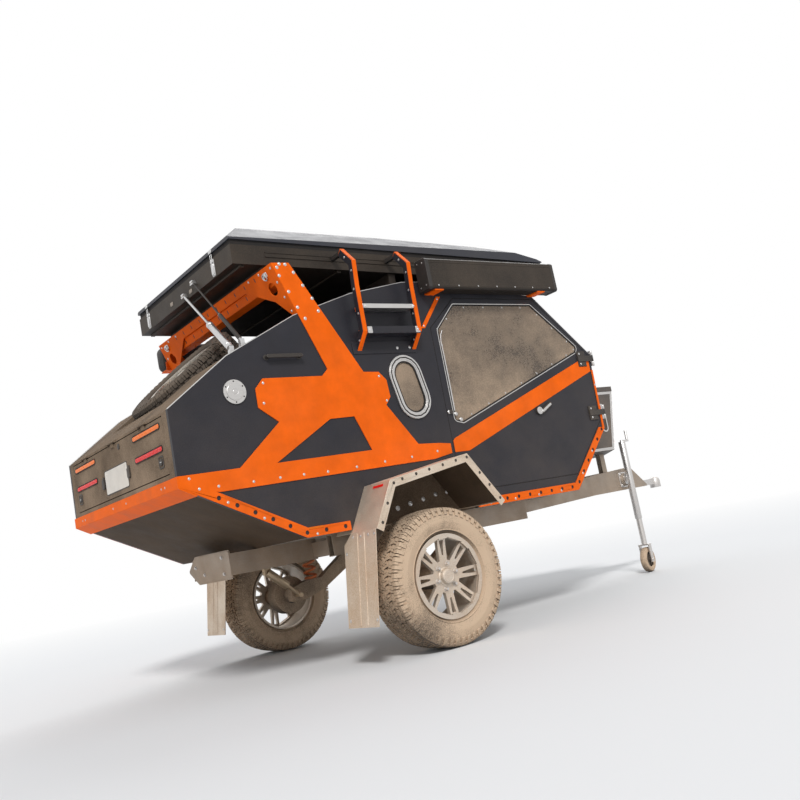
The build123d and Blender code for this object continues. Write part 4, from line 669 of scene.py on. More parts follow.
class TRAILER_OT_finishes(bpy.types.Operator):
    """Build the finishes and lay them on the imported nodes."""

    bl_idname = "trailer.finishes"
    bl_label = "Finishes"

    def execute(self, context):
        colours = context.scene.trailer_colours
        build_groups()
        paint("satin_body", colours.body, 0.40, dust=0.07, wear=0.2, worn=(0.20, 0.20, 0.21),
              trace=0.02, specular=0.22)
        paint("dusty_tail", (0.046, 0.030, 0.019), 0.55, dust=0.25, wear=0.2, trace=0.30, full=0.8,
              clear=2.2, specular=0.05)
        paint("orange_coat", colours.orange, 0.45, dust=0.05, wear=0.15, worn=(0.60, 0.26, 0.12),
              trace=0.02, specular=0.04)
        paint("tent_coat", colours.tent, 0.48, dust=0.0, wear=0.3, worn=(0.12, 0.11, 0.10),
              grain=450.0, bump=0.3, trace=0.07, specular=0.2)
        # The lid's blue tint over the tent's black is a painted reflection of the sky
        paint("sky_tinted_lid", (0.024, 0.028, 0.040), 0.40, dust=0.0, wear=0.3, worn=(0.14, 0.14, 0.15),
              grain=450.0, bump=0.3, trace=0.04, specular=0.35)
        paint("tub_dust", (0.060, 0.038, 0.022), 0.7, dust=0.25, grain=250.0, bump=0.3, trace=0.15,
              specular=0.15)
        paint("box_coat", (0.040, 0.040, 0.042), 0.42, dust=0.3, wear=0.7,
              worn=(0.55, 0.54, 0.52), grain=600.0, bump=0.2)
        paint("black_moulding", (0.016, 0.016, 0.017), 0.5, dust=0.15, grain=1200.0, trace=0.06)
        paint("arm_paint", (0.03, 0.03, 0.03), 0.5, dust=0.8, wear=0.3, trace=0.25)
        paint("coil_paint", (0.62, 0.12, 0.01), 0.4, dust=0.45, trace=0.1)
        paint("blank_plate", (0.72, 0.68, 0.62), 0.45, dust=0.1, trace=0.15, clear=2.0)
        metal("fender_plate", (0.76, 0.68, 0.58), 0.46, dust=0.55, wear=0.3,
              worn=(0.85, 0.82, 0.78), trace=0.22, clear=1.6)
        metal("galvanised", (0.36, 0.32, 0.28), 0.50, dust=0.45, trace=0.14)
        metal("bright_zinc", (0.66, 0.66, 0.66), 0.3, dust=0.3)
        metal("machined_rim", (0.70, 0.66, 0.60), 0.38, dust=0.55, wear=0.4,
              worn=(0.20, 0.17, 0.14), full=0.3, clear=1.4, trace=0.08)
        metal("pale_metal", (0.60, 0.59, 0.58), 0.34, dust=0.1, trace=0.06)
        metal("damper_metal", (0.62, 0.50, 0.35), 0.35, dust=0.4)
        rubber("road_rubber", (0.034, 0.031, 0.029), dust=1.25)
        rubber("seal_rubber", (0.012, 0.012, 0.013), dust=0.05, trace=0.03)
        cloth("bag_cloth", (0.020, 0.020, 0.022), threads=380.0, sheen=0.2)
        cloth("bed_cloth", (0.30, 0.30, 0.31), threads=300.0, sheen=0.3)
        tinted("dark_glass", (0.030, 0.027, 0.025), 0.3)
        lens("red_lens", (0.62, 0.010, 0.008), 0.25)
        lens("amber_lens", (0.80, 0.16, 0.006), 0.2)
        plywood("ply", (0.50, 0.36, 0.22))
        for finish, nodes in NODE_FINISH.items():
            for name in nodes:
                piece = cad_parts[name]
                piece.data.materials.clear()
                piece.data.materials.append(bpy.data.materials[finish])
                if name not in ROUND_NODES:
                    weld = piece.modifiers.new("joined_corners", "WELD")
                    weld.merge_threshold = WELD_REACH
                    soften(piece, NODE_ROUND)
        return {"FINISHED"}


# Wheels: where each one's middle lies, and the way its outer face looks
SPARE_TILT = math.radians(38)
SPARE_AXIS = Vector((-math.sin(SPARE_TILT), 0, math.cos(SPARE_TILT)))
TYRE_R = (high("tyre_right").z - low("tyre_right").z) / 2
TYRE_HALF = (high("tyre_right").y - low("tyre_right").y) / 2
RIM_R = (high("rim_right").z - low("rim_right").z) / 2
HUB_FACE = 0.080            # rim's hub face from the wheel's middle
NUTS = 6
NUT_TURN = 0.26             # the first nut's angle, radians
WHEELS = [("right", "wheel_right", "tyre_right", turned(middle("tyre_right"), (0, -1, 0))),
          ("left", "wheel_left", "tyre_left", turned(middle("tyre_left"), (0, 1, 0))),
          ("spare", "chassis", "spare_tyre",
           turned(at(-930, 0, 1885) - SPARE_AXIS * TYRE_HALF, SPARE_AXIS))]

# Tread rows: near and far height from the middle, top radius below the tyre's there, start and
# end in shares of a pitch, skew in pitches per metre
TREAD_ROWS = [
    (0.003, 0.025, 0.0, 0.0004, 0.05, 0.60, 11.0),
    (0.003, 0.019, 0.0, 0.0004, 0.66, 0.92, 11.0),
    (0.030, 0.046, 0.0006, 0.0012, 0.02, 0.40, -9.0),
    (0.030, 0.060, 0.0006, 0.0018, 0.46, 0.90, -9.0),
    (0.065, 0.089, 0.0020, 0.0038, 0.08, 0.58, 7.0),
    (0.065, 0.082, 0.0020, 0.0034, 0.64, 0.94, 7.0),
]
# Shoulder lugs: section of radius below the tyre's and height, start and end of the pitch
SHOULDER_ROWS = [
    ([(0.020, 0.094), (0.0045, 0.094), (0.0075, 0.117), (0.019, 0.1255), (0.048, 0.1318),
      (0.052, 0.128), (0.030, 0.114)], 0.04, 0.56),
    ([(0.020, 0.094), (0.0045, 0.094), (0.0075, 0.116), (0.024, 0.1265), (0.028, 0.123),
      (0.024, 0.112)], 0.64, 0.93),
]


class WheelSettings(bpy.types.PropertyGroup):
    """Sizes of the tyres' tread and the wheels' fittings."""

    pitches: IntProperty(name="Tread pitches", description="Repeats of the tread round a tyre",
                         default=54, min=20, max=90)
    tread_depth: FloatProperty(name="Tread depth", description="Height of the tread blocks",
                               default=0.0115, min=0.004, max=0.02, subtype="DISTANCE")
    nut_circle: FloatProperty(name="Nut circle", description="Radius of the circle of wheel nuts",
                              default=0.070, min=0.04, max=0.1, subtype="DISTANCE")


def tyre_section(depth):
    """Section of the carcass, from the outer bead over the tread and back inside."""
    base = TYRE_R - depth
    wide = TYRE_HALF
    side = [(RIM_R + 0.001, 0.098), (RIM_R + 0.008, 0.105), (RIM_R + 0.013, 0.111),
            (RIM_R + 0.016, 0.1215), (RIM_R + 0.019, 0.1240), (RIM_R + 0.023, 0.1215),
            (RIM_R + 0.030, 0.1235), (RIM_R + 0.046, 0.1290), (RIM_R + 0.062, wide - 0.001),
            (RIM_R + 0.066, wide), (RIM_R + 0.071, wide - 0.001), (RIM_R + 0.088, 0.1300),
            (RIM_R + 0.104, 0.1265), (base - 0.026, 0.1225), (base - 0.012, 0.1150),
            (base - 0.006, 0.1020), (base - 0.002, 0.0600), (base, 0.0)]
    outer = side + [(r, -h) for r, h in reversed(side[:-1])]
    inner = [(RIM_R + 0.001, 0.084), (RIM_R + 0.030, 0.106), (RIM_R + 0.070, 0.119),
             (base - 0.040, 0.112), (base - 0.018, 0.090), (base - 0.015, 0.0)]
    hollow = inner + [(r, -h) for r, h in reversed(inner[:-1])]
    return outer + hollow[::-1]


class TRAILER_OT_tyres(bpy.types.Operator):
    """Build the all-terrain tyres with their tread blocks."""

    bl_idname = "trailer.tyres"
    bl_label = "Tyres"

    def execute(self, context):
        wheels = context.scene.trailer_wheels
        step = 2 * math.pi / wheels.pitches
        base = TYRE_R - wheels.tread_depth - 0.002
        for name, body, node_name, place in WHEELS:
            bm = bmesh.new()
            add_ring(bm, tyre_section(wheels.tread_depth), place, 108)
            for k in range(wheels.pitches):
                # Every other block is longer
                long = 0.04 if k % 2 else -0.02
                for near, far, drop_near, drop_far, start, end, skew in TREAD_ROWS:
                    for side, shift in ((1, 0.0), (-1, 0.5)):
                        section = [(base, side * near), (TYRE_R - drop_near, side * near),
                                   (TYRE_R - drop_far, side * far), (base - 0.001, side * far)]
                        add_ring(bm, section, place, 1, (k + start + shift) * step,
                                 (k + end + shift + long) * step, skew * step)
                for section, start, end in SHOULDER_ROWS:
                    for side, shift in ((1, 0.2), (-1, 0.7)):
                        rows = [(TYRE_R - drop, side * height) for drop, height in section]
                        add_ring(bm, rows, place, 1, (k + start + shift) * step,
                                 (k + end + shift + long) * step)
            piece = make_piece(f"{name}_tread_tyre", bm, ("tyre_black", "road_rubber"), body=body,
                               sharp=28)
            soften(piece, 0.8, segments=1)
            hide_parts(node_name)
        return {"FINISHED"}


class TRAILER_OT_wheel_trim(bpy.types.Operator):
    """Add the wheel nuts, the valves and the centre caps."""

    bl_idname = "trailer.wheel_trim"
    bl_label = "Wheel nuts and caps"

    # Rows of radius and height: the valve's from the rim's radius, the cap's from the hub face
    valve = [(-0.036, 0.083), (-0.040, 0.104)]
    cap = [(0.054, -0.002), (0.054, 0.003), (0.050, 0.006), (0.046, 0.007), (0.044, 0.022),
           (0.040, 0.028), (0.030, 0.0310), (0.028, 0.0295), (0, 0.0300)]

    def execute(self, context):
        circle = context.scene.trailer_wheels.nut_circle
        for name, body, _, place in WHEELS:
            bm = bmesh.new()
            for k in range(NUTS):
                spot = Matrix.Rotation(2 * math.pi * k / NUTS + NUT_TURN, 4, "Z")
                spot @= Matrix.Translation((circle, 0, HUB_FACE - MM))
                add_hex_nut(bm, place @ spot, 10.5, 21)
            add_tube(bm, [place @ Vector((RIM_R + out, 0, height)) for out, height in self.valve],
                     0.0045, 10)
            make_piece(f"{name}_wheel_nuts", bm, ZINC, 0.8, body=body)
            bm = bmesh.new()
            add_lathe(bm, [(radius, HUB_FACE + height) for radius, height in self.cap], place, 48)
            make_piece(f"{name}_centre_cap", bm, ("rim_alloy", "machined_rim"), 0.8, body=body)
        return {"FINISHED"}


# Coil springs and jockey wheel
COIL_LINE = at(130, 649, 0)     # upright line of the left coil
COIL_WIRE = 0.009
COIL_MEAN_R = 0.039
COIL_TURNS = 6
COIL_END = 0.7                  # turns that lie flat at each end
COIL_BOW = 0.004
# Direction square to the right rail of the drawbar, outward
DRAWBAR_OUT = Vector((0.2515, -0.9679, 0)).normalized()
JOCKEY_SPOKES = 5


class TRAILER_OT_coils(bpy.types.Operator):
    """Wind the coil springs between their seats."""

    bl_idname = "trailer.coils"
    bl_label = "Coil springs"

    def execute(self, context):
        foot, head = low("coil_springs").z, high("coil_springs").z
        bm = bmesh.new()
        steps = 24
        for side in (-1, 1):
            points = []
            for k in range(steps * COIL_TURNS + 1):
                share = k / (steps * COIL_TURNS)
                rise = (share * COIL_TURNS - COIL_END) / (COIL_TURNS - 2 * COIL_END)
                rise = max(0.0, min(1.0, rise))
                turn = 2 * math.pi * k / steps
                points.append(Vector((COIL_LINE.x + COIL_MEAN_R * math.cos(turn),
                                      side * COIL_LINE.y + COIL_MEAN_R * math.sin(turn),
                                      foot + COIL_WIRE + (head - foot - 2 * COIL_WIRE) * rise
                                      + COIL_BOW * math.sin(math.pi * share))))
            add_tube(bm, points, COIL_WIRE, 12)
        piece = make_piece("wound_coils", bm, ("coil_bronze", "coil_paint"), sharp=60)
        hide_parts("coil_springs")
        return {"FINISHED"}


class TRAILER_OT_jockey(bpy.types.Operator):
    """Build the jockey wheel's tyre, its spoked hub and its pin's nuts."""

    bl_idname = "trailer.jockey"
    bl_label = "Jockey wheel"

    # Outer halves of the sections, radius and height
    tyre = [(58, 20), (66, 26), (80, 27.2), (91, 23.5), (97.5, 16), (99.5, 6)]
    hub = [(8.5, 27), (20, 27), (21, 10), (54, 8), (60, 21)]

    def execute(self, context):
        centre = middle("jockey_wheel")
        place = turned(centre, DRAWBAR_OUT)
        tyre, hub, nuts = new_meshes(3)
        for bm, half, segments in ((tyre, self.tyre, 64), (hub, self.hub, 48)):
            add_ring(bm, flat(half + [(r, -h) for r, h in reversed(half)]), place, segments)
        for k in range(JOCKEY_SPOKES):
            rib = place @ Matrix.Rotation(2 * math.pi * k / JOCKEY_SPOKES, 4, "Z") @ moved(38, 0)
            add_block(hub, rib, (0.036, 0.007, 0.030))
        for side in (-1, 1):
            across = DRAWBAR_OUT * side
            add_hex_nut(nuts, turned(centre + across * 0.0445, across), 10, 9)
        tyre = make_piece("jockey_tyre", tyre, ("rubber_black", "road_rubber"), 0.6,
                          body="jockey_wheel")
        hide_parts("jockey_wheel")
        make_piece("jockey_hub", hub, MOULDING, 0.8, body="jockey_wheel")
        make_piece("jockey_pin_nuts", nuts, ZINC, 0.6, body="jockey_castor")
        return {"FINISHED"}


# Body sides: openings' outlines, x from the axle and z, in millimetres
DOOR = [(411, 930), (475, 845), (1457, 845), (1801, 1194), (1815, 1672), (1362, 2085), (640, 2085),
        (411, 1888)]
DOOR_WINDOW = [(460, 1288), (530, 1270), (1695, 1692), (1722, 1732), (1336, 2048), (628, 2048),
               (460, 1880)]
WINDOW_R = 28
PORTHOLE = (155, 1520)
PORTHOLE_TURN = 102             # degrees from level
FILLER = (-1010, 1552)
GRAB = (-687, 1733)
# Line of the body's upper edge
BODY_EDGE = [(-1392, 1485), (-1025, 1749), (-573, 1972), (-156, 2108), (244, 2186), (430, 2192),
             (1368, 2110), (1839, 1680)]

# Bolts of the frame plates: band, diagonal strips and roll bar legs
BAND_BOLTS = [(-1335, 1123), (-1289, 1066), (-1183, 1068), (-1146, 980), (-984, 1069), (-956, 873),
              (-826, 1072), (-679, 1073), (-657, 747), (-525, 1072), (-330, 1078), (-130, 1088),
              (70, 1096), (270, 1112), (616, 750), (830, 750), (1044, 750), (1258, 750),
              (1500, 842), (1640, 984), (1822, 1250), (1824, 1450), (-836, 1591), (-61, 1596),
              (-36, 1446), (-850, 1480)]
LEG_BOLTS = [(-628, 2254), (-622, 2205), (-578, 2111), (-538, 2019), (-500, 1953), (-525, 2227),
             (-478, 2150), (-431, 2073), (-403, 1998), (-572, 2273), (-610, 2275)]


class TRAILER_OT_side_bolts(bpy.types.Operator):
    """Bolt the orange plates to the body and the roll bar."""

    bl_idname = "trailer.side_bolts"
    bl_label = "Side bolts"

    def execute(self, context):
        bm = bmesh.new()
        plate = (PLATE_FACE - SIDE) / MM
        for _, sign in SIDES:
            for radius, spots in ((5.5, BAND_BOLTS), (7.5, LEG_BOLTS)):
                for x, z in spots:
                    add_bolt(bm, on_side(sign, x, plate, z), radius, radius * 0.55)
        make_piece("plate_bolts", bm, ZINC)
        return {"FINISHED"}


class TRAILER_OT_side_fittings(bpy.types.Operator):
    """Add the porthole's rings, the filler's cap, the grips and the painted highlight beads on the
    panel's upper edge.
    """

    bl_idname = "trailer.side_fittings"
    bl_label = "Side fittings"

    # Outer and inner slot, lower and upper height
    rings = [((398, 243), (380, 225), 10, 12.4), ((362, 207), (344, 189), 10, 12.4)]
    gaskets = [((378, 223), (364, 209), 9.8, 10.8), ((326, 171), (308, 153), 0.2, 6.5)]
    cap = [(47, 0), (47, 2.2), (45.5, 3.2), (18, 3.2), (17, 2.4), (11, 2.4), (10, 4.0), (0, 4.0)]
    grip_post = [(17, 0), (17, 3), (11.2, 5), (11.2, 25.5)]

    def execute(self, context):
        rings, gaskets, caps, grips, beads = new_meshes(5)
        for _, sign in SIDES:
            place = on_side(sign, PORTHOLE[0], 0, PORTHOLE[1])
            for bm, rows in ((rings, self.rings), (gaskets, self.gaskets)):
                for outer, inner, foot, top in rows:
                    add_band(bm, slot_loop(*outer, PORTHOLE_TURN), slot_loop(*inner, PORTHOLE_TURN),
                             place, foot, top)
            disc = on_side(sign, FILLER[0], 8, FILLER[1])
            add_lathe(caps, flat(self.cap), disc, 40)
            for k in range(6):
                spot = Matrix.Rotation(math.pi * (k + 0.5) / 3, 4, "Z") @ moved(56.5, 0)
                add_bolt(gaskets, disc @ spot, 3.2, 1.8)
            add_pad(grips, slot_loop(228, 23), on_side(sign, GRAB[0], 25, GRAB[1]), 12, 3.0)
            for end in (-103, 103):
                add_lathe(grips, flat(self.grip_post), on_side(sign, GRAB[0] + end, 0, GRAB[1]), 20)
            # Pale bead along the upper edge is a painted highlight on the panel's rounded edge
            add_tube(beads, [at(x, sign * (SIDE / MM - 3), z + 1) for x, z in BODY_EDGE], 0.0035, 8)
        make_piece("porthole_beads", rings, PALE_TRIM, 0.6)
        make_piece("porthole_gaskets", gaskets, SEAL, 0.4)
        make_piece("filler_caps", caps, PALE_TRIM, 0.5)
        make_piece("grab_grips", grips, MOULDING, 0.5)
        make_piece("panel_edge_highlight", beads, PALE_TRIM)
        return {"FINISHED"}


class TRAILER_OT_door_trim(bpy.types.Operator):
    """Add the doors' seals, window gaskets and beads, screws, catches, locks and hinge bolts."""

    bl_idname = "trailer.door_trim"
    bl_label = "Door trim"

    strip = [(472, 1350), (474, 1500), (473, 1700), (470, 1800), (478, 1842), (496, 1872)]
    catches = [(424, 1345), (476, 1330), (510, 1292)]
    catch = [(13, 0), (13, 5), (10, 8), (6, 9.5), (0, 9.5)]
    lock = [(25.5, -0.5), (25.5, 2), (21, 3.5), (13, 3.5), (12, 2), (0, 2)]
    hinges = [(1200, 1300), (1590, 1700)]       # lower and upper end of each leaf

    def execute(self, context):
        door, window = flat(DOOR), flat(DOOR_WINDOW)
        line = rounded(window, WINDOW_R * MM)
        for name, sign in SIDES:
            place = on_side(sign, 0, 0, 0)
            seal, gasket, beads, bolts = new_meshes(4)
            add_band(seal, grown(door, 4.7 * MM), grown(door, 1.2 * MM), place, -17, -1)
            add_band(gasket, grown(line, -0.4 * MM), grown(line, -11 * MM), place, -4.2, -1.6)
            add_band(beads, grown(line, 4 * MM), grown(line, -1.5 * MM), place, -1.2, 1.6)
            for spot in along(grown(window, -20 * MM), 165):
                add_bolt(beads, place @ Matrix.Translation((spot.x, spot.y, -4 * MM)), 4.6, 2.6)
            add_tube(beads, [place @ mm(x, z, 1.5) for x, z in self.strip], 4.5 * MM, 10)
            for x, z in self.catches:
                add_lathe(beads, flat(self.catch), place @ moved(x, z, 1), 20)
            add_lathe(beads, flat(self.lock), on_side(sign, 1205, 16, 1300), 28)
            add_pad(beads, slot_loop(108, 17, 28), on_side(sign, 1275, 16, 1316), 4.5, 1.8, -0.3)
            for low_end, high_end in self.hinges:
                for z in (low_end + 18, (low_end + high_end) / 2, high_end - 18):
                    add_bolt(bolts, on_side(sign, 1722, 8.2, z), 5.5, 3.2)
            make_piece(f"door_seal_{name}", seal, SEAL, 0.6)
            make_piece(f"window_gasket_{name}", gasket, SEAL, 0.6, body=f"door_{name}")
            make_piece(f"window_beads_{name}", beads, PALE_TRIM, 0.5, body=f"door_{name}")
            make_piece(f"hinge_bolts_{name}", bolts, ZINC, body=f"door_{name}")
        return {"FINISHED"}


# Fenders: the arch's outline, and the mudflap's upper edge, x and z
ARCH = [(-440, 716), (-300, 962), (283, 1052), (507, 746)]
FLAP_TOP = (-440.3, 716)
FLAP_LEAN = math.radians(9)
FLAP_UP = Vector((math.sin(FLAP_LEAN), 0, math.cos(FLAP_LEAN)))
FLAP_REAR = Vector((-FLAP_UP.z, 0, FLAP_UP.x))


def on_flap(y, down, back):
    """Point on a mudflap, down from its upper edge and back from its front face."""
    return at(FLAP_TOP[0], y, FLAP_TOP[1]) - FLAP_UP * down * MM + FLAP_REAR * back * MM


class TRAILER_OT_fender_trim(bpy.types.Operator):
    """Add the fenders' plugs, liners, bolts and markers, and the mudflaps' folds and bolts."""

    bl_idname = "trailer.fender_trim"
    bl_label = "Fender trim"

    plugs = [(-277, 941), (-215, 957), (-113, 974), (-16, 989), (87, 1004), (189, 1019),
             (276, 1030), (352, 930), (410, 852), (473, 766), (-342, 838), (-396, 741)]
    plug = [(8.8, -7), (8.8, -0.5), (6.5, -0.3), (5.5, -1.6), (0, -2.0)]
    tub_bolts = [(-84, 803), (16, 817), (116, 832), (218, 847), (320, 864), (412, 868)]
    marker = (-312, 1000, 941)
    # Mudflap: y and distance down of its bolts, y of its folds and a fold's section
    flap_bolts = [(870, 22), (945, 22), (1020, 22), (1078, 22), (800, 110), (1070, 470), (812, 470)]
    folds = (912, 979)
    fold = [(-7, -0.4), (-3, 3.2), (3, 3.2), (7, -0.4)]

    def execute(self, context):
        outer, tub = high("fender_left").y, low("fender_left").y
        plugs, bolts, markers, folds, liners = new_meshes(5)
        arch = flat(ARCH)
        near, far = grown(arch, -4.4 * MM), grown(arch, -7 * MM)
        rear_wall = mm(ARCH[1][0] - ARCH[0][0], 0, ARCH[1][1] - ARCH[0][1]).normalized()
        back = Vector((-rear_wall.z, 0, rear_wall.x))
        for _, sign in SIDES:
            for i in range(3):
                row = [near[i], near[i + 1], far[i + 1], far[i]]
                add_prism(liners, [at(p.x / MM, sign * (tub / MM + 4), p.y / MM) for p in row],
                          Vector((0, sign * (outer - tub - 12 * MM), 0)))
            add_pad(liners, grown(arch, -6 * MM), on_side(sign, 0, (tub - SIDE) / MM + 4, 0), 2.0,
                    0.5, 0.1)
            for x, z in self.plugs:
                add_lathe(plugs, flat(self.plug), on_side(sign, x, (outer - SIDE) / MM, z), 20)
            for x, z in self.tub_bolts:
                add_bolt(bolts, on_side(sign, x, (tub - SIDE) / MM + 6, z), 11, 6)
            x, y, z = self.marker
            marker = turned(at(x, sign * y, z) + back * 0.6 * MM, back)
            add_pad(markers, box_loop(96, 15, 4), marker, 3.0, 1.0, -0.4)
            for y in self.folds:
                add_prism(folds, [on_flap(sign * y + dy, 8, 4 + out) for dy, out in self.fold],
                          on_flap(0, 496, 0) - on_flap(0, 8, 0))
            for y, down in self.flap_bolts:
                add_bolt(bolts, turned(on_flap(sign * y, down, 4), FLAP_REAR), 7, 4)
        make_piece("fender_plugs", plugs, MOULDING)
        make_piece("arch_liners", liners, ("fender_alloy", "tub_dust"), 0.5)
        make_piece("fender_bolts", bolts, ZINC)
        make_piece("fender_markers", markers, ("lens_red", "red_lens"), 0.5)
        make_piece("mudflap_folds", folds, ("fender_alloy", "fender_plate"), 0.8)
        return {"FINISHED"}


# Tail: lamp bars, plate and locks, y and z in millimetres
LAMP_Y = 525
LAMPS = [("red", 1310, "red_lens"), ("amber", 1428, "amber_lens")]
PLATE = (0, 1267, 372, 134)     # y, z, length and height
PLATE_LAMP_Y = 215
LOCK = (682, 1243)


class TRAILER_OT_tail(bpy.types.Operator):
    """Build the lamp bars with their bezels, the blank plate, its lamps and the flap's locks."""

    bl_idname = "trailer.tail"
    bl_label = "Tail lamps and plate"

    bar = (388, 24)                 # length and height of a lamp bar
    led = [(6.2, 4.8), (5.8, 5.6), (3.5, 6.1), (0, 6.2)]
    led_pitch = 19.4
    lever = (-100, 1436)
    bumper_face = -1398
    bumper_bolts = [(690, 1110), (640, 1110), (110, 1110)]
    lock = [(19, 0.1), (19, 4.2), (17, 5.2), (0, 5.2)]
    cylinder = [(17, 0.1), (17, 3), (14, 4.5), (0, 4.5)]

    def execute(self, context):
        face = (low("tail_lamps").x - AXLE.x) / MM + 3
        bezels, plate, locks, faces = new_meshes(4)
        for colour, z, finish in LAMPS:
            bm = bmesh.new()
            for y in (-LAMP_Y, LAMP_Y):
                place = on_rear(face, y, z)
                add_pad(bm, slot_loop(*self.bar), place, 5.0, 2.0, 0.1)
                for k in range(-9, 10):
                    add_lathe(bm, flat(self.led), place @ moved(k * self.led_pitch, 0), 12)
                add_band(bezels, slot_loop(400, 36), slot_loop(388.6, 24.6), place, 0.1, 4.2)
            make_piece(f"{colour}_lamp_bars", bm, ("lens_red", finish),
                                     body="tail_flap")
        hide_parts("tail_lamps")
        y, z, long, tall = PLATE
        place = on_rear(face, y, z)
        add_pad(plate, box_loop(long, tall, 9), place, 2.4, 0.8, 0.8)
        add_band(locks, box_loop(long + 12, tall + 12, 12), box_loop(long - 3, tall - 3, 7.5),
                 place, 0.1, 1.8)
        for side in (-1, 1):
            add_bolt(plate, on_rear(face - 2.4, side * 150, z + 48), 5, 2.4)
            place = on_rear(face, side * PLATE_LAMP_Y, z)
            add_pad(locks, box_loop(36, 58, 8), place, 11.4, 3.0, 0.1)
            add_pad(locks, box_loop(24, 16, 4), place @ moved(0, 34), 7, 2.0, 0.1)
            place = on_rear(face, side * LOCK[0], LOCK[1])
            add_band(locks, box_loop(64, 64, 9), box_loop(50, 50, 6), place, 0.1, 3.4)
            add_lathe(locks, flat(self.lock), place, 24)
            add_pad(faces, box_loop(22, 4, 1.5), place @ moved(0, 0, 5.2), 1.4, 0.4, -0.2)
            for y, height in self.bumper_bolts:
                add_bolt(faces, on_rear(self.bumper_face, side * y, height), 4.5, 2.6)
        add_lathe(locks, flat(self.cylinder), on_rear(face, *self.lever), 24)
        make_piece("lamp_bezels", bezels, SEAL, 0.6, body="tail_flap")
        plate = make_piece("blank_number_plate", plate, ("plate_pale", "blank_plate"), 0.4,
                           body="tail_flap")
        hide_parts("plate_and_lamps")
        make_piece("flap_locks", locks, MOULDING, 0.6, body="tail_flap")
        make_piece("flap_lock_faces", faces, ZINC, 0.4, body="tail_flap")
        return {"FINISHED"}


# Roof tent: x of its rear face, the tray's foot there and its fall towards the front
TENT_REAR = -828
TENT_FOOT = 2320
TENT_SLOPE = 0.021
# Heads of the stay and the gas strut under it: y, and height above the tray's foot
STAY_HEAD = (-62, 24)
STRUT_HEAD = (-214, 59)
HEAD_X = -841.3


def tent_z(x, tall):
    """Height of a place on the sloping tray, in millimetres."""
    return TENT_FOOT + tall - TENT_SLOPE * (x - TENT_REAR)


def tent_head(y, tall):
    """Point where a stay or a strut meets the tray's rear."""
    return at(HEAD_X, y, tent_z(TENT_REAR, tall))


class TRAILER_OT_tent_trim(bpy.types.Operator):
    """Add the roof tent's toggle latches, side channels, ribs and rear plates."""

    bl_idname = "trailer.tent_trim"
    bl_label = "Tent trim"

    latches = (-485, 555)           # y of each toggle
    latch_z, catch_z = 2378, 2476
    channel = [(722, 50), (727, 50), (727, 56), (723.6, 56), (723.6, 76), (727, 76), (727, 82),
               (722, 82)]
    channel_ends = (-612, 520)
    ribs = (-760, -430, -100, 700, 1000)
    rib = [(-15, 0.2), (15, 0.2), (13, -12), (-13, -12)]
    plates = [(161, 2366), (-140, 2352)]

    def execute(self, context):
        latches, catches, channels, ribs, plates = new_meshes(5)
        for y in self.latches:
            place = on_rear(TENT_REAR, y, self.latch_z)
            add_pad(latches, box_loop(38, 104, 5), place, 2.6, 0.8, 0.1)
            add_pad(latches, box_loop(24, 70, 6), place @ moved(0, -10, 2.4), 9, 3.0)
            add_pad(latches, box_loop(32, 16, 4), place @ moved(0, 36, 2.4), 6.5, 1.5)
            for x, z in ((-13, 46), (13, 46), (-13, -46), (13, -46)):
                add_bolt(latches, place @ moved(x, z, 2.5), 3.4, 2)
            add_wire_loop(latches, place, 36, 80, 6.5)
            catch = on_rear(TENT_REAR - 5, y, self.catch_z)
            add_pad(catches, box_loop(40, 21, 4), catch, 7, 2.0, 0.1)
            for x in (-13, 13):
                add_bolt(catches, catch @ moved(x, 0, 6.8), 3, 1.6)
        start, end = self.channel_ends
        for _, sign in SIDES:
            foot = [at(start, sign * (y - 0.2), tent_z(start, z)) for y, z in self.channel]
            add_prism(channels, foot, at(end, 0, tent_z(end, 0)) - at(start, 0, tent_z(start, 0)))
        for x in self.ribs:
            add_prism(ribs, [at(x + ahead, -700, tent_z(x, tall)) for ahead, tall in self.rib],
                      Vector((0, 1.4, 0)))
        for y, z in self.plates:
            place = on_rear(TENT_REAR, y, z)
            add_pad(plates, box_loop(40, 24, 5), place, 2.4, 0.8, 0.1)
            for x in (-13, 13):
                add_bolt(plates, place @ moved(x, 0, 2.2), 4.5, 2.6)
        for y, tall in (STAY_HEAD, STRUT_HEAD):
            for x in (-13, 13):
                add_bolt(plates, on_rear(HEAD_X - 13, y + x, tent_z(TENT_REAR, tall)), 4.2, 2.6)
        make_piece("tent_latches", latches, ZINC, 0.5)
        make_piece("tent_catches", catches, ZINC, 0.5, body="tent_lid")
        make_piece("tent_channels", channels, TENT_TRIM, 0.5)
        make_piece("tent_ribs", ribs, TENT_TRIM, 1.0)
        make_piece("tent_plates", plates, ("zinc_bright", "galvanised"), 0.4)
        return {"FINISHED"}


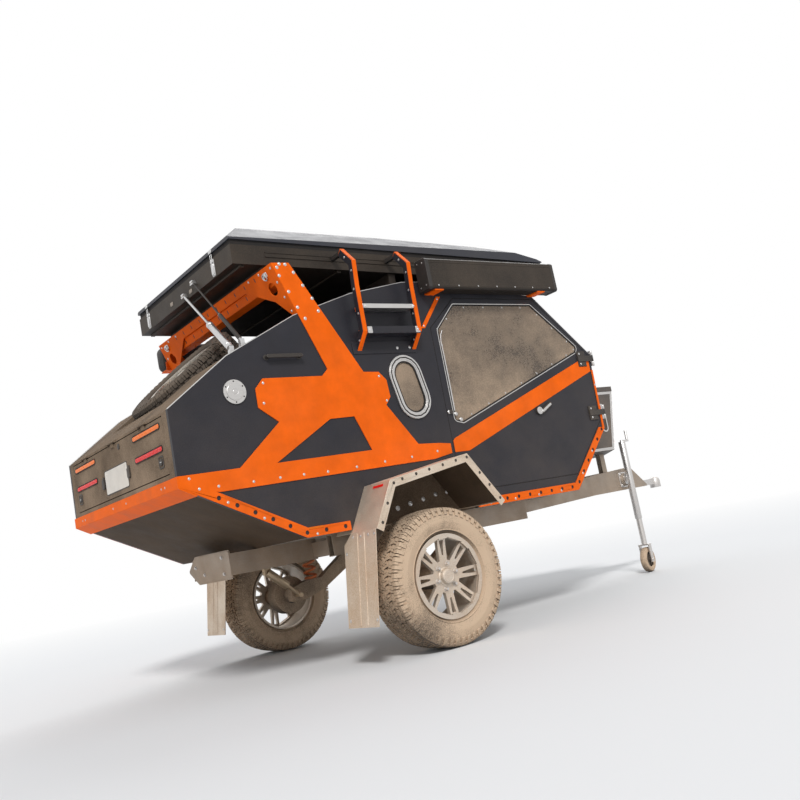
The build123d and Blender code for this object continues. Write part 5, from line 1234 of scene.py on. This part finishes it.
class TRAILER_OT_case_trim(bpy.types.Operator):
    """Add the awning case's end caps, lip strips and screws, and the strap to its bracket."""

    bl_idname = "trailer.case_trim"
    bl_label = "Awning case trim"

    section = [(-867, 2112), (-962, 2112), (-972, 2122), (-970, 2300), (-955, 2312), (-867, 2312)]
    ends = [(366, 1), (1510, -1)]               # x and the way inward
    # End cap: distance inward and growth of the section
    cap = [(26, 1.2), (15, 1.2), (14, 2.2), (2, 2.2), (0, 2.2), (-3, 0.0)]
    cap_screws = [(-890, 2135), (-945, 2140), (-890, 2290), (-940, 2285)]
    # Lip strips: middle height, width, outer face and foot, then their middle x and length
    strips = [(2131.5, 11, 123.4, 119), (2283.5, 7, 121.6, 117), (2298.5, 5, 121.4, 117)]
    strip_x, strip_long = 938, 1088
    lip_screws = range(440, 1440, 166)          # x of each
    strap = [(330, 1888), (362, 1888), (535, 2096), (500, 2096)]
    strap_screws = [(356, 1903), (505, 2080)]

    def execute(self, context):
        caps, strips, screws, straps = new_meshes(4)
        section = flat(self.section)
        for end, inward in self.ends:
            add_loops(caps, [[Vector((at(end + inward * x, 0, 0).x, p.x, p.y))
                              for p in grown(section, by * MM)] for x, by in self.cap])
            for y, z in self.cap_screws:
                add_bolt(screws, turned(at(end - inward * 3, y, z), (-inward, 0, 0)), 4, 2.4)
        for z, wide, out, foot in self.strips:
            place = on_side(-1, self.strip_x, 0, z)
            add_pad(strips, box_loop(self.strip_long, wide, 2), place, out, 1.0, foot)
        for x in self.lip_screws:
            add_bolt(screws, on_side(-1, x, 123.2, self.strips[0][0]), 3.6, 2)
        add_prism(straps, [at(x, -850.2, z) for x, z in self.strap], mm(0, -4))
        for x, z in self.strap_screws:
            add_bolt(screws, on_side(-1, x, 4.1, z), 4.5, 2.6)
        make_piece("case_end_caps", caps, MOULDING, 0.8)
        make_piece("case_lip_strips", strips, TENT_TRIM, 0.4)
        make_piece("case_screws", screws, ZINC)
        make_piece("case_straps", straps, ("orange_paint", "orange_coat"), 0.8)
        return {"FINISHED"}


# Ladder: outline of a stringer as distance out from the side panel and z, and each one's x
STRINGER = [(0, 1748), (96, 1847), (97, 2128), (108, 2280), (9, 2385), (-21, 2352), (66, 2260),
            (56, 2128), (55, 1862), (0, 1806)]
STRINGER_X = [-154, 252]


class TRAILER_OT_ladder_trim(bpy.types.Operator):
    """Add the ladder's web inserts of painted shade, ribbed treads, foot cover, hooks and bolts."""

    bl_idname = "trailer.ladder_trim"
    bl_label = "Ladder trim"

    web_bolts = [(38, 2320), (84, 2222), (77, 2110), (76, 1960), (40, 1806)]
    foot_bolts = [(-157, 1767), (114, 1765), (210, 1767)]
    tread_start, tread_long = -149.7, 401.4
    tread_rows = [(2003, 13.5), (1856, 21.5)]   # middle height and half thickness

    def execute(self, context):
        shade_inserts_and_foot, treads, hooks, bolts = new_meshes(4)
        side = -SIDE / MM
        edge = flat([(side - out, z) for out, z in STRINGER])
        # The outer flange stays bare, the inner one lies under the insert, a dark sheet of painted
        # shade
        loop = grown(edge, -4.2 * MM)[:5] + grown(edge, 0.8 * MM)[5:]
        for x in STRINGER_X:
            add_pad(shade_inserts_and_foot, loop, on_rear(x, 0, 0), 24.8, 1.5, 0.2)
            for out, z in self.web_bolts:
                add_bolt(bolts, on_rear(x - 24.6, side - out, z), 6, 3.6)
            add_pad(hooks, box_loop(138, 23.5, 3), on_front(x - 11.5, -791, 2368), 27, 2.0)
            add_bolt(bolts, on_rear(x - 12, -840, 2368), 5, 3)
        for (z, half), bm in zip(self.tread_rows, (treads, shade_inserts_and_foot)):
            rows = [(10.8, z - half), (93.4, z - half), (93.4, z + half)]
            for k in range(7, -1, -1):
                near = 14 + 9 * k
                rows += [(near + 6, z + half), (near + 5, z + half + 2), (near + 1, z + half + 2),
                         (near, z + half)]
            rows.append((10.8, z + half))
            add_prism(bm, [at(self.tread_start, side - out, tall) for out, tall in rows],
                      mm(self.tread_long, 0))
            for x in (-128, 228):
                place = on_side(-1, x, 93.2, z)
                add_pad(treads, box_loop(34, 2 * half - 3, 4), place, 2.4, 0.8)
                add_bolt(bolts, place @ moved(0, 0, 2.3), 5.5, 3.2)
        add_pad(shade_inserts_and_foot, box_loop(475, 76, 4), on_side(-1, 26, 0, 1771.5), 5.4, 1.0, 0.2)
        for x, z in self.foot_bolts:
            add_bolt(bolts, on_side(-1, x, 5.3, z), 6.5, 3.8)
        # Dark body paint on the web inserts is painted shade in the channels; it also colours the
        # lower tread and the foot cover
        make_piece("ladder_shade_inserts_and_foot", shade_inserts_and_foot, ("body_grey", "satin_body"), 0.6)
        make_piece("ladder_treads", treads, PALE_TRIM, 0.6)
        make_piece("ladder_hooks", hooks, MOULDING, 0.6)
        make_piece("ladder_bolts", bolts, ZINC)
        return {"FINISHED"}


# Roll bar's beam: its upper rear edge, its lean and its rear face's direction
BEAM_TOP = (-663, 2281)
BEAM_LEAN = Vector((-0.374, 0, 0.927)).normalized()
BEAM_REAR = Vector((-BEAM_LEAN.z, 0, BEAM_LEAN.x))
SLOT_PITCH = 132.81
# The upper tube of a stay starts at this share of its length
STAY_JOINT = 0.42


def on_beam(y, below, out=0.0):
    """Place on the beam's rear face: its x runs to the right, y up the face and z backward."""
    spot = at(BEAM_TOP[0], y, BEAM_TOP[1]) - BEAM_LEAN * below * MM + BEAM_REAR * out * MM
    return framed(spot, (0, -1, 0), BEAM_LEAN, BEAM_REAR)


class TRAILER_OT_stay_trim(bpy.types.Operator):
    """Add the strut's sleeve, the stay's collars, dark pads of painted shade in the beam's slots,
    the beam's shackles, and the bolts.
    """

    bl_idname = "trailer.stay_trim"
    bl_label = "Stays and beam trim"

    beam_bolts = [(826, 24), (822, 112), (818, 205), (815, 292), (690, 16), (560, 16)]
    end_bolts = [(-174, 721), (-182, 626), (88, 640), (205, 690)]
    strut_foot = (-885, -784, 1852)
    stay_foot = (-956, -784, 1810)
    # Rows of slots: middle y, count, distance below the upper edge and out from the rear face
    slots = [(-28.5, 10, 29, 0), (-35.0, 9, 86, -16)]

    def execute(self, context):
        dark, pale = new_meshes(2)
        foot, head = at(*self.strut_foot), tent_head(*STRUT_HEAD)
        run = (head - foot).length / MM
        joint = run * STAY_JOINT
        sleeve = [(11.7, 16), (12.3, 20), (12.3, joint - 8), (9, joint + 3), (5.6, joint + 5),
                  (5.6, run - 34), (8, run - 32), (8, run - 14)]
        add_lathe(dark, flat(sleeve), turned(foot, head - foot), 20)
        foot, head = at(*self.stay_foot), tent_head(*STAY_HEAD)
        joint = (head - foot).length / MM * STAY_JOINT
        for rows in ([(20.3, joint - 30), (21.8, joint - 28), (21.8, joint - 8), (16, joint + 3),
                      (8.5, joint + 5)], [(20.4, 30), (22, 32), (22, 46), (20.4, 48)]):
            add_lathe(pale, flat(rows), turned(foot, head - foot), 28)
        for side in (-1, 1):
            place = on_beam(side * 748, 40)
            add_pad(pale, box_loop(46, 30, 6), place, 4, 1.2, -0.2)
            ring = [place @ mm(18 * math.cos(a), 18 * math.sin(a) - 12, 11 + 4 * math.sin(a))
                    for a in (2 * math.pi * k / 20 for k in range(20))]
            add_tube(pale, ring, 4 * MM, 10, closed=True)
            staple = [place @ mm(12 * math.cos(a), 4, 2 + 14 * math.sin(a))
                      for a in (math.pi * k / 10 for k in range(11))]
            add_tube(pale, staple, 3.5 * MM, 10)
            for y, below in self.beam_bolts:
                add_bolt(pale, on_beam(side * y, below), 6, 3.6)
        # Dark pads just inside the slots are painted shade of the channel behind them
        for row, count, below, out in self.slots:
            for k in range(count):
                slot = on_beam(row + SLOT_PITCH * (k - (count - 1) / 2), below, out)
                add_pad(dark, slot_loop(25.4, 9.4, 90), slot, -0.8, 0.3, -3.6)
        for y, z in self.end_bolts:
            add_hex_nut(pale, on_rear(-912, y, z), 9, 8)
        make_piece("strut_sleeve_and_slot_shade", dark, MOULDING, 0.4)
        make_piece("beam_shackles", pale, ZINC, 0.4)
        return {"FINISHED"}


# Front box: half width, foot and brow of the V nose as x of the corner and of the tip, and z
BOX_HALF = 600
BOX_FOOT = (2185, 2735)
BOX_BROW = (2300, 2850)
BOX_Z = 990
BOX_TALL = 450


def on_nose(sign, along_face, up_face):
    """Place on a V face of the front box: its x runs to the tip and y up the face."""
    forward = Vector((BOX_FOOT[1] - BOX_FOOT[0], -sign * BOX_HALF, 0)).normalized()
    rise = Vector((BOX_BROW[0] - BOX_FOOT[0], 0, BOX_TALL))
    up = (rise - forward * rise.dot(forward)).normalized()
    spot = at(BOX_FOOT[0], sign * BOX_HALF, BOX_Z) + forward * along_face * MM + up * up_face * MM
    return framed(spot, forward, up, forward.cross(up) * -sign)


class TRAILER_OT_box_trim(bpy.types.Operator):
    """Add the front box's panels, trims, latches and markers, the side markers and the clamp."""

    bl_idname = "trailer.box_trim"
    bl_label = "Front box trim"

    # Outlines of a V face, its panel and a side wall
    face = [(0, 0), (814, 0), (892, 458), (78, 458)]
    panel = [(84, 110), (768, 110), (806, 334), (122, 334)]
    wall = [(1852, 990), (2185, 990), (2300, 1440), (1852, 1440)]
    latches = [(224, 414), (774, 414)]          # along and up the face
    catch_z = 1463
    window = (2136, 1239)
    nose_marker = (60, 60)
    side_marker = (-660.5, 6, 781.5)
    clamp = (2698.6, -197.6, 765)

    def execute(self, context):
        trims, panels, latches, catches, markers, side_markers = new_meshes(6)
        face, wall = flat(self.face), flat(self.wall)
        panel = rounded(flat(self.panel), 16 * MM)
        for _, sign in SIDES:
            nose = on_nose(sign, 0, 0)
            add_band(trims, grown(face, -2 * MM), grown(face, -24 * MM), nose, -0.3, 1.4)
            add_band(trims, grown(panel, 16 * MM), panel, nose, -0.3, 3.0)
            add_pad(panels, grown(panel, -0.4 * MM), nose, 1.0, 0.4, -0.3)
            flank = on_side(sign, 0, BOX_HALF - SIDE / MM, 0)
            add_band(trims, grown(wall, -2 * MM), grown(wall, -22 * MM), flank, -0.3, 1.4)
            window = flank @ moved(*self.window)
            add_band(trims, slot_loop(218, 70, 90), slot_loop(196, 48, 90), window, -0.3, 4.0)
            add_pad(panels, slot_loop(195, 47, 90), window, 1.4, 0.4, -0.3)
            # The lid's rim stands upright over the leaning face
            forward = nose.col[0].xyz
            out = forward.cross(Vector((0, 0, 1))) * -sign
            for along_face, up_face in self.latches:
                latch = on_nose(sign, along_face, up_face)
                add_pad(latches, box_loop(38, 72, 5), latch, 3.0, 0.8, -0.2)
                add_pad(latches, box_loop(24, 50, 5), latch @ moved(0, -5, 2.8), 9, 3.0)
                add_wire_loop(latches, latch, 14, 38, 8)
                spot = latch @ mm(0, 40.5)
                spot.z = self.catch_z * MM
                catch = framed(spot, forward, (0, 0, 1), out)
                add_pad(catches, box_loop(42, 24, 4), catch, 11, 2.0, 1.0)
            marker = on_nose(sign, *self.nose_marker)
            add_pad(markers, box_loop(72, 24, 5), marker, 4, 1.5, -0.2)
            marker = on_side(sign, *self.side_marker)
            add_pad(side_markers, box_loop(97, 13, 3), marker, 3, 1.0, -0.2)
        clamp = turned(at(*self.clamp), DRAWBAR_OUT)
        add_pad(latches, box_loop(150, 122, 10), clamp, 6, 1.5, -0.2)
        for x in (-58, 58):
            for y in (-44, 44):
                add_hex_nut(latches, clamp @ moved(x, y, 5.8), 9, 9)
        make_piece("box_trims", trims, ("box_alloy", "pale_metal"), 0.5)
        make_piece("box_panels", panels, MOULDING)
        make_piece("box_latches", latches, ZINC, 0.5)
        make_piece("box_catches", catches, ZINC, 0.5, body="box_lid")
        make_piece("box_markers", markers, ("lens_red", "amber_lens"))
        make_piece("side_markers", side_markers, ("lens_red", "amber_lens"))
        return {"FINISHED"}


# Soft pieces
PAD_CROWN = 0.012
PAD_PULL = 0.012            # share by which a pad's sides draw in between its corners
SEAM_REACH = 0.9985         # how far out the seam lies, in shares of the pad
CHANNEL_DEPTH = 0.010
CHANNEL_WIDTH = 0.012


def drawn_in(across, along_side):
    """Share that is left of a pad's reach at a place between its corners."""
    return 1 - PAD_PULL * (1 - along_side ** 2) * abs(across) ** 3


def swell(cube, place, channels):
    """Crown a rounded box, draw its sides in between the corners and press sewn channels in."""
    back = place.inverted()
    for v, u in cube.items():
        q = back @ v.co
        q.x *= drawn_in(u.x, u.y)
        q.y *= drawn_in(u.y, u.x)
        if u.z > 0:
            q.z += PAD_CROWN * (1 - u.x ** 4) * (1 - u.y ** 4) * u.z
            for axis, spot in channels:
                q.z -= CHANNEL_DEPTH * math.exp(-((q[axis] - spot) / CHANNEL_WIDTH) ** 2) * u.z
            q.z += 0.0015 * noise.noise(Vector((q.x * 9, q.y * 9, 3.0))) * u.z
        v.co = place @ q


def seam_loop(size):
    """Closed loop round a pad's waist, drawn in as its sides are."""
    corners = [(-1, -1), (1, -1), (1, 1), (-1, 1)]
    points = []
    for (ax, ay), (bx, by) in zip(corners, corners[1:] + corners[:1]):
        for k in range(14):
            share = 0.06 + 0.88 * k / 13
            u, v = ax + (bx - ax) * share, ay + (by - ay) * share
            points.append(Vector((u * size.x / 2 * drawn_in(u, v) * SEAM_REACH,
                                  v * size.y / 2 * drawn_in(v, u) * SEAM_REACH, 0)))
    return points


class TRAILER_OT_bedding(bpy.types.Operator):
    """Shape the mattress and the folded bedding of the roof tent."""

    bl_idname = "trailer.bedding"
    bl_label = "Mattress and bedding"

    # Piece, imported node, slope and the panels between its cross channels
    pads = [("quilted_mattress", "mattress", 0.0, 6),
            ("folded_bedding", "tent_bedding", TENT_SLOPE, 4)]

    def execute(self, context):
        for name, node_name, slope, rows in self.pads:
            size = high(node_name) - low(node_name)
            size.z -= size.x * slope
            place = Matrix.Translation(middle(node_name))
            place @= Matrix.Rotation(math.atan(slope), 4, "Y")
            place @= Matrix.Translation((0, 0, -PAD_CROWN / 2))
            bm = bmesh.new()
            cube = rounded_box(bm, place, size - Vector((0.004, 0.004, PAD_CROWN + MM)),
                               size.z * 0.32, 36)
            channels = [(0, size.x * (k / rows - 0.5)) for k in range(1, rows)]
            channels += [(1, size.y * share) for share in (-0.22, 0.0, 0.22)]
            swell(cube, place, channels)
            piece = make_piece(name, bm, ("bed_fabric", "bed_cloth"), sharp=180)
            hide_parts(node_name)
            bm = bmesh.new()
            add_tube(bm, [place @ p for p in seam_loop(size)], 0.004, 8, closed=True)
            make_piece(name + "_piping", bm, ("bed_fabric", "bag_cloth"), sharp=180)
        return {"FINISHED"}


def strap_loop(half_y, half_z, corner):
    """Points and outward directions round a rounded rectangle in y and z."""
    loop = []
    for cy, cz, start in ((1, 1, 0), (-1, 1, 90), (-1, -1, 180), (1, -1, 270)):
        for k in range(7):
            angle = math.radians(start + 15 * k)
            out = Vector((math.cos(angle), math.sin(angle)))
            centre = Vector((cy * (half_y - corner), cz * (half_z - corner)))
            loop.append((centre + out * corner, out))
    return loop


class TRAILER_OT_awning_bag(bpy.types.Operator):
    """Make the long soft awning bag on the left, with its straps and buckles."""

    bl_idname = "trailer.awning_bag"
    bl_label = "Awning bag"

    straps = (-0.80, -0.27, 0.27, 0.80)         # places along the bag, in half lengths
    strap = [(-0.019, -0.0008), (0.019, -0.0008), (0.019, 0.0014), (-0.019, 0.0014)]
    # Buckle bars: middle and size, in metres
    buckle = [((0, -0.018, 0.001), (0.046, 0.005, 0.006)),
              ((0, 0.018, 0.001), (0.046, 0.005, 0.006)),
              ((-0.0225, 0, 0.001), (0.005, 0.040, 0.006)),
              ((0.0225, 0, 0.001), (0.005, 0.040, 0.006)),
              ((0, 0, 0.0025), (0.044, 0.004, 0.004))]

    def execute(self, context):
        size = high("awning_left") - low("awning_left")
        half = size / 2
        place = Matrix.Translation(middle("awning_left"))
        bag, straps, buckles = new_meshes(3)
        cube = rounded_box(bag, place, size - Vector((0.004, 0.016, 0.014)), 0.050, 40)
        back = place.inverted()
        for v, u in cube.items():
            q = back @ v.co
            gather = sum(math.exp(-((u.x - spot) / 0.030) ** 2) for spot in self.straps)
            q.y *= 1 - 0.05 * gather
            q.z *= 1 - 0.05 * gather
            between = math.sin(math.pi * (u.x - 0.27) / 0.53) ** 2
            q.z -= 0.004 * between * (1 - abs(u.x)) * (u.z < 0)
            q.y += 0.0035 * noise.noise(Vector((q.x * 7, q.y * 16, q.z * 16)))
            q.z += 0.0025 * noise.noise(Vector((q.x * 5, q.y * 20, q.z * 20 + 9)))
            v.co = place @ q
        bag = make_piece("soft_awning_bag", bag, ("bag_fabric", "bag_cloth"), sharp=180)
        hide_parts("awning_left")
        for spot in self.straps:
            line = strap_loop(half.y - 0.0125, half.z - 0.0118, 0.046)
            add_loops(straps, [[place @ Vector((spot * half.x + ahead, p.x + out.x * tall,
                                                p.y + out.y * tall))
                                for ahead, tall in self.strap] for p, out in line], closed=True)
            buckle = turned(place @ Vector((spot * half.x, half.y - 0.0095, -0.02)), (0, 1, 0))
            for centre, bar in self.buckle:
                add_block(buckles, buckle @ Matrix.Translation(centre), bar)
        make_piece("awning_bag_straps", straps, ("bag_fabric", "bag_cloth"), sharp=40)
        make_piece("awning_bag_buckles", buckles, MOULDING, 0.8)
        return {"FINISHED"}


class StudioSettings(bpy.types.PropertyGroup):
    """Camera and light of the plain studio."""

    camera_place: FloatVectorProperty(name="Camera place", description="Where the camera stands",
                                      subtype="TRANSLATION", default=(-4.1548, -5.0220, 0.6596))
    azimuth: FloatProperty(name="Azimuth", description="Turn of the view from straight left",
                           subtype="ANGLE", default=math.radians(37.71))
    elevation: FloatProperty(name="Elevation", description="How far the camera looks up",
                             subtype="ANGLE", default=math.radians(8.461))
    roll: FloatProperty(name="Roll", description="Tilt of the camera about its view",
                        subtype="ANGLE", default=math.radians(-10.686))
    lens: FloatProperty(name="Lens", description="Focal length on a 36 mm sensor",
                        default=40.104, min=1.0, subtype="DISTANCE_CAMERA")
    key: FloatProperty(name="Key light", description="Strength of the main light", default=2.0,
                       min=0.0)
    fill: FloatProperty(name="Fill light", description="Strength of the light from all round",
                        default=0.5, min=0.0)


class TRAILER_OT_studio(bpy.types.Operator):
    """Set up the floor, the soft light and the camera."""

    bl_idname = "trailer.studio"
    bl_label = "Studio"

    def execute(self, context):
        studio = context.scene.trailer_studio
        self.floor()
        self.lights(studio)
        self.background(studio)
        self.camera(studio)
        context.scene.view_settings.view_transform = "Standard"
        return {"FINISHED"}

    def floor(self):
        bm = bmesh.new()
        bmesh.ops.create_circle(bm, cap_ends=True, radius=60.0, segments=96)
        mesh = bpy.data.meshes.new("floor")
        bm.to_mesh(mesh)
        bm.free()
        floor = bpy.data.objects.new("floor", mesh)
        bpy.context.scene.collection.objects.link(floor)
        tree, shader = new_finish("pale_floor")
        shader.inputs["Base Color"].default_value = (0.82, 0.82, 0.82, 1.0)
        shader.inputs["Roughness"].default_value = 0.9
        shader.inputs["Specular IOR Level"].default_value = 0.1
        away = node(tree, "VectorMath", {0: object_place(tree)},
                    operation="LENGTH").outputs["Value"]
        seen = maths(tree, "MULTIPLY", span(tree, away, 4.5, 16.0),
                     node(tree, "LightPath").outputs["Is Camera Ray"])
        pale = node(tree, "Emission", {"Color": (1.0, 1.0, 1.0, 1.0), "Strength": 1.0})
        both = node(tree, "MixShader", {0: seen, 1: shader.outputs[0], 2: pale.outputs[0]})
        tree.links.new(both.outputs[0], tree.nodes["Material Output"].inputs["Surface"])
        mesh.materials.append(bpy.data.materials["pale_floor"])

    def lights(self, studio):
        rows = [("key_light", studio.key, (0.50, 0.75, -0.75), 12.0),
                ("far_light", studio.key * 0.4, (-0.7, -0.5, -0.7), 40.0)]
        for name, strength, direction, softness in rows:
            data = bpy.data.lights.new(name, "SUN")
            data.energy = strength
            data.angle = math.radians(softness)
            lamp = bpy.data.objects.new(name, data)
            lamp.rotation_euler = Vector(direction).to_track_quat("-Z", "Y").to_euler()
            bpy.context.scene.collection.objects.link(lamp)

    def background(self, studio):
        world = bpy.data.worlds.new("studio")
        world.use_nodes = True
        bpy.context.scene.world = world
        tree = world.node_tree
        light = tree.nodes["Background"]
        light.inputs["Color"].default_value = (0.93, 0.96, 1.0, 1.0)
        light.inputs["Strength"].default_value = studio.fill
        pale = node(tree, "Background", {"Color": (1.0, 1.0, 1.0, 1.0), "Strength": 1.0})
        path = node(tree, "LightPath").outputs
        seen = maths(tree, "MAXIMUM", path["Is Camera Ray"], path["Is Glossy Ray"])
        seen = maths(tree, "MAXIMUM", seen, path["Is Transmission Ray"])
        both = node(tree, "MixShader", {0: seen, 1: light.outputs[0], 2: pale.outputs[0]})
        tree.links.new(both.outputs[0], tree.nodes["World Output"].inputs["Surface"])

    def camera(self, studio):
        data = bpy.data.cameras.new("camera")
        data.sensor_width = 36.0
        data.lens = studio.lens
        camera = bpy.data.objects.new("camera", data)
        camera.matrix_world = (Matrix.Translation(studio.camera_place)
                               @ Matrix.Rotation(-studio.azimuth, 4, "Z")
                               @ Matrix.Rotation(math.pi / 2 + studio.elevation, 4, "X")
                               @ Matrix.Rotation(studio.roll, 4, "Z"))
        bpy.context.scene.collection.objects.link(camera)
        bpy.context.scene.camera = camera


class TRAILER_PT_panel(bpy.types.Panel):
    """Trailer's settings and pieces."""

    bl_label = "Trailer"
    bl_idname = "TRAILER_PT_panel"
    bl_space_type = "VIEW_3D"
    bl_region_type = "UI"
    bl_category = "Trailer"

    def draw(self, context):
        for name, group in GROUPS:
            box = self.layout.box()
            box.label(text=name.split("_")[1].capitalize())
            for key in group.__annotations__:
                box.prop(getattr(context.scene, name), key)
        for step in STEPS:
            self.layout.operator(step.bl_idname)


STEPS = [TRAILER_OT_finishes, TRAILER_OT_tyres, TRAILER_OT_wheel_trim, TRAILER_OT_coils,
         TRAILER_OT_jockey, TRAILER_OT_side_bolts, TRAILER_OT_side_fittings, TRAILER_OT_door_trim,
         TRAILER_OT_fender_trim, TRAILER_OT_tail, TRAILER_OT_tent_trim, TRAILER_OT_case_trim,
         TRAILER_OT_ladder_trim, TRAILER_OT_stay_trim, TRAILER_OT_box_trim, TRAILER_OT_bedding,
         TRAILER_OT_awning_bag, TRAILER_OT_studio]
GROUPS = [("trailer_colours", TrailerColours), ("trailer_wheels", WheelSettings),
          ("trailer_studio", StudioSettings)]


def register():
    for _, group in GROUPS:
        bpy.utils.register_class(group)
    for step in STEPS:
        bpy.utils.register_class(step)
    bpy.utils.register_class(TRAILER_PT_panel)
    for name, group in GROUPS:
        setattr(bpy.types.Scene, name, PointerProperty(type=group))


def unregister():
    for name, _ in GROUPS:
        delattr(bpy.types.Scene, name)
    bpy.utils.unregister_class(TRAILER_PT_panel)
    for step in reversed(STEPS):
        bpy.utils.unregister_class(step)
    for _, group in reversed(GROUPS):
        bpy.utils.unregister_class(group)


def main():
    register()
    for step in STEPS:
        family, name = step.bl_idname.split(".")
        getattr(getattr(bpy.ops, family), name)()


if __name__ == "__main__":
    main()
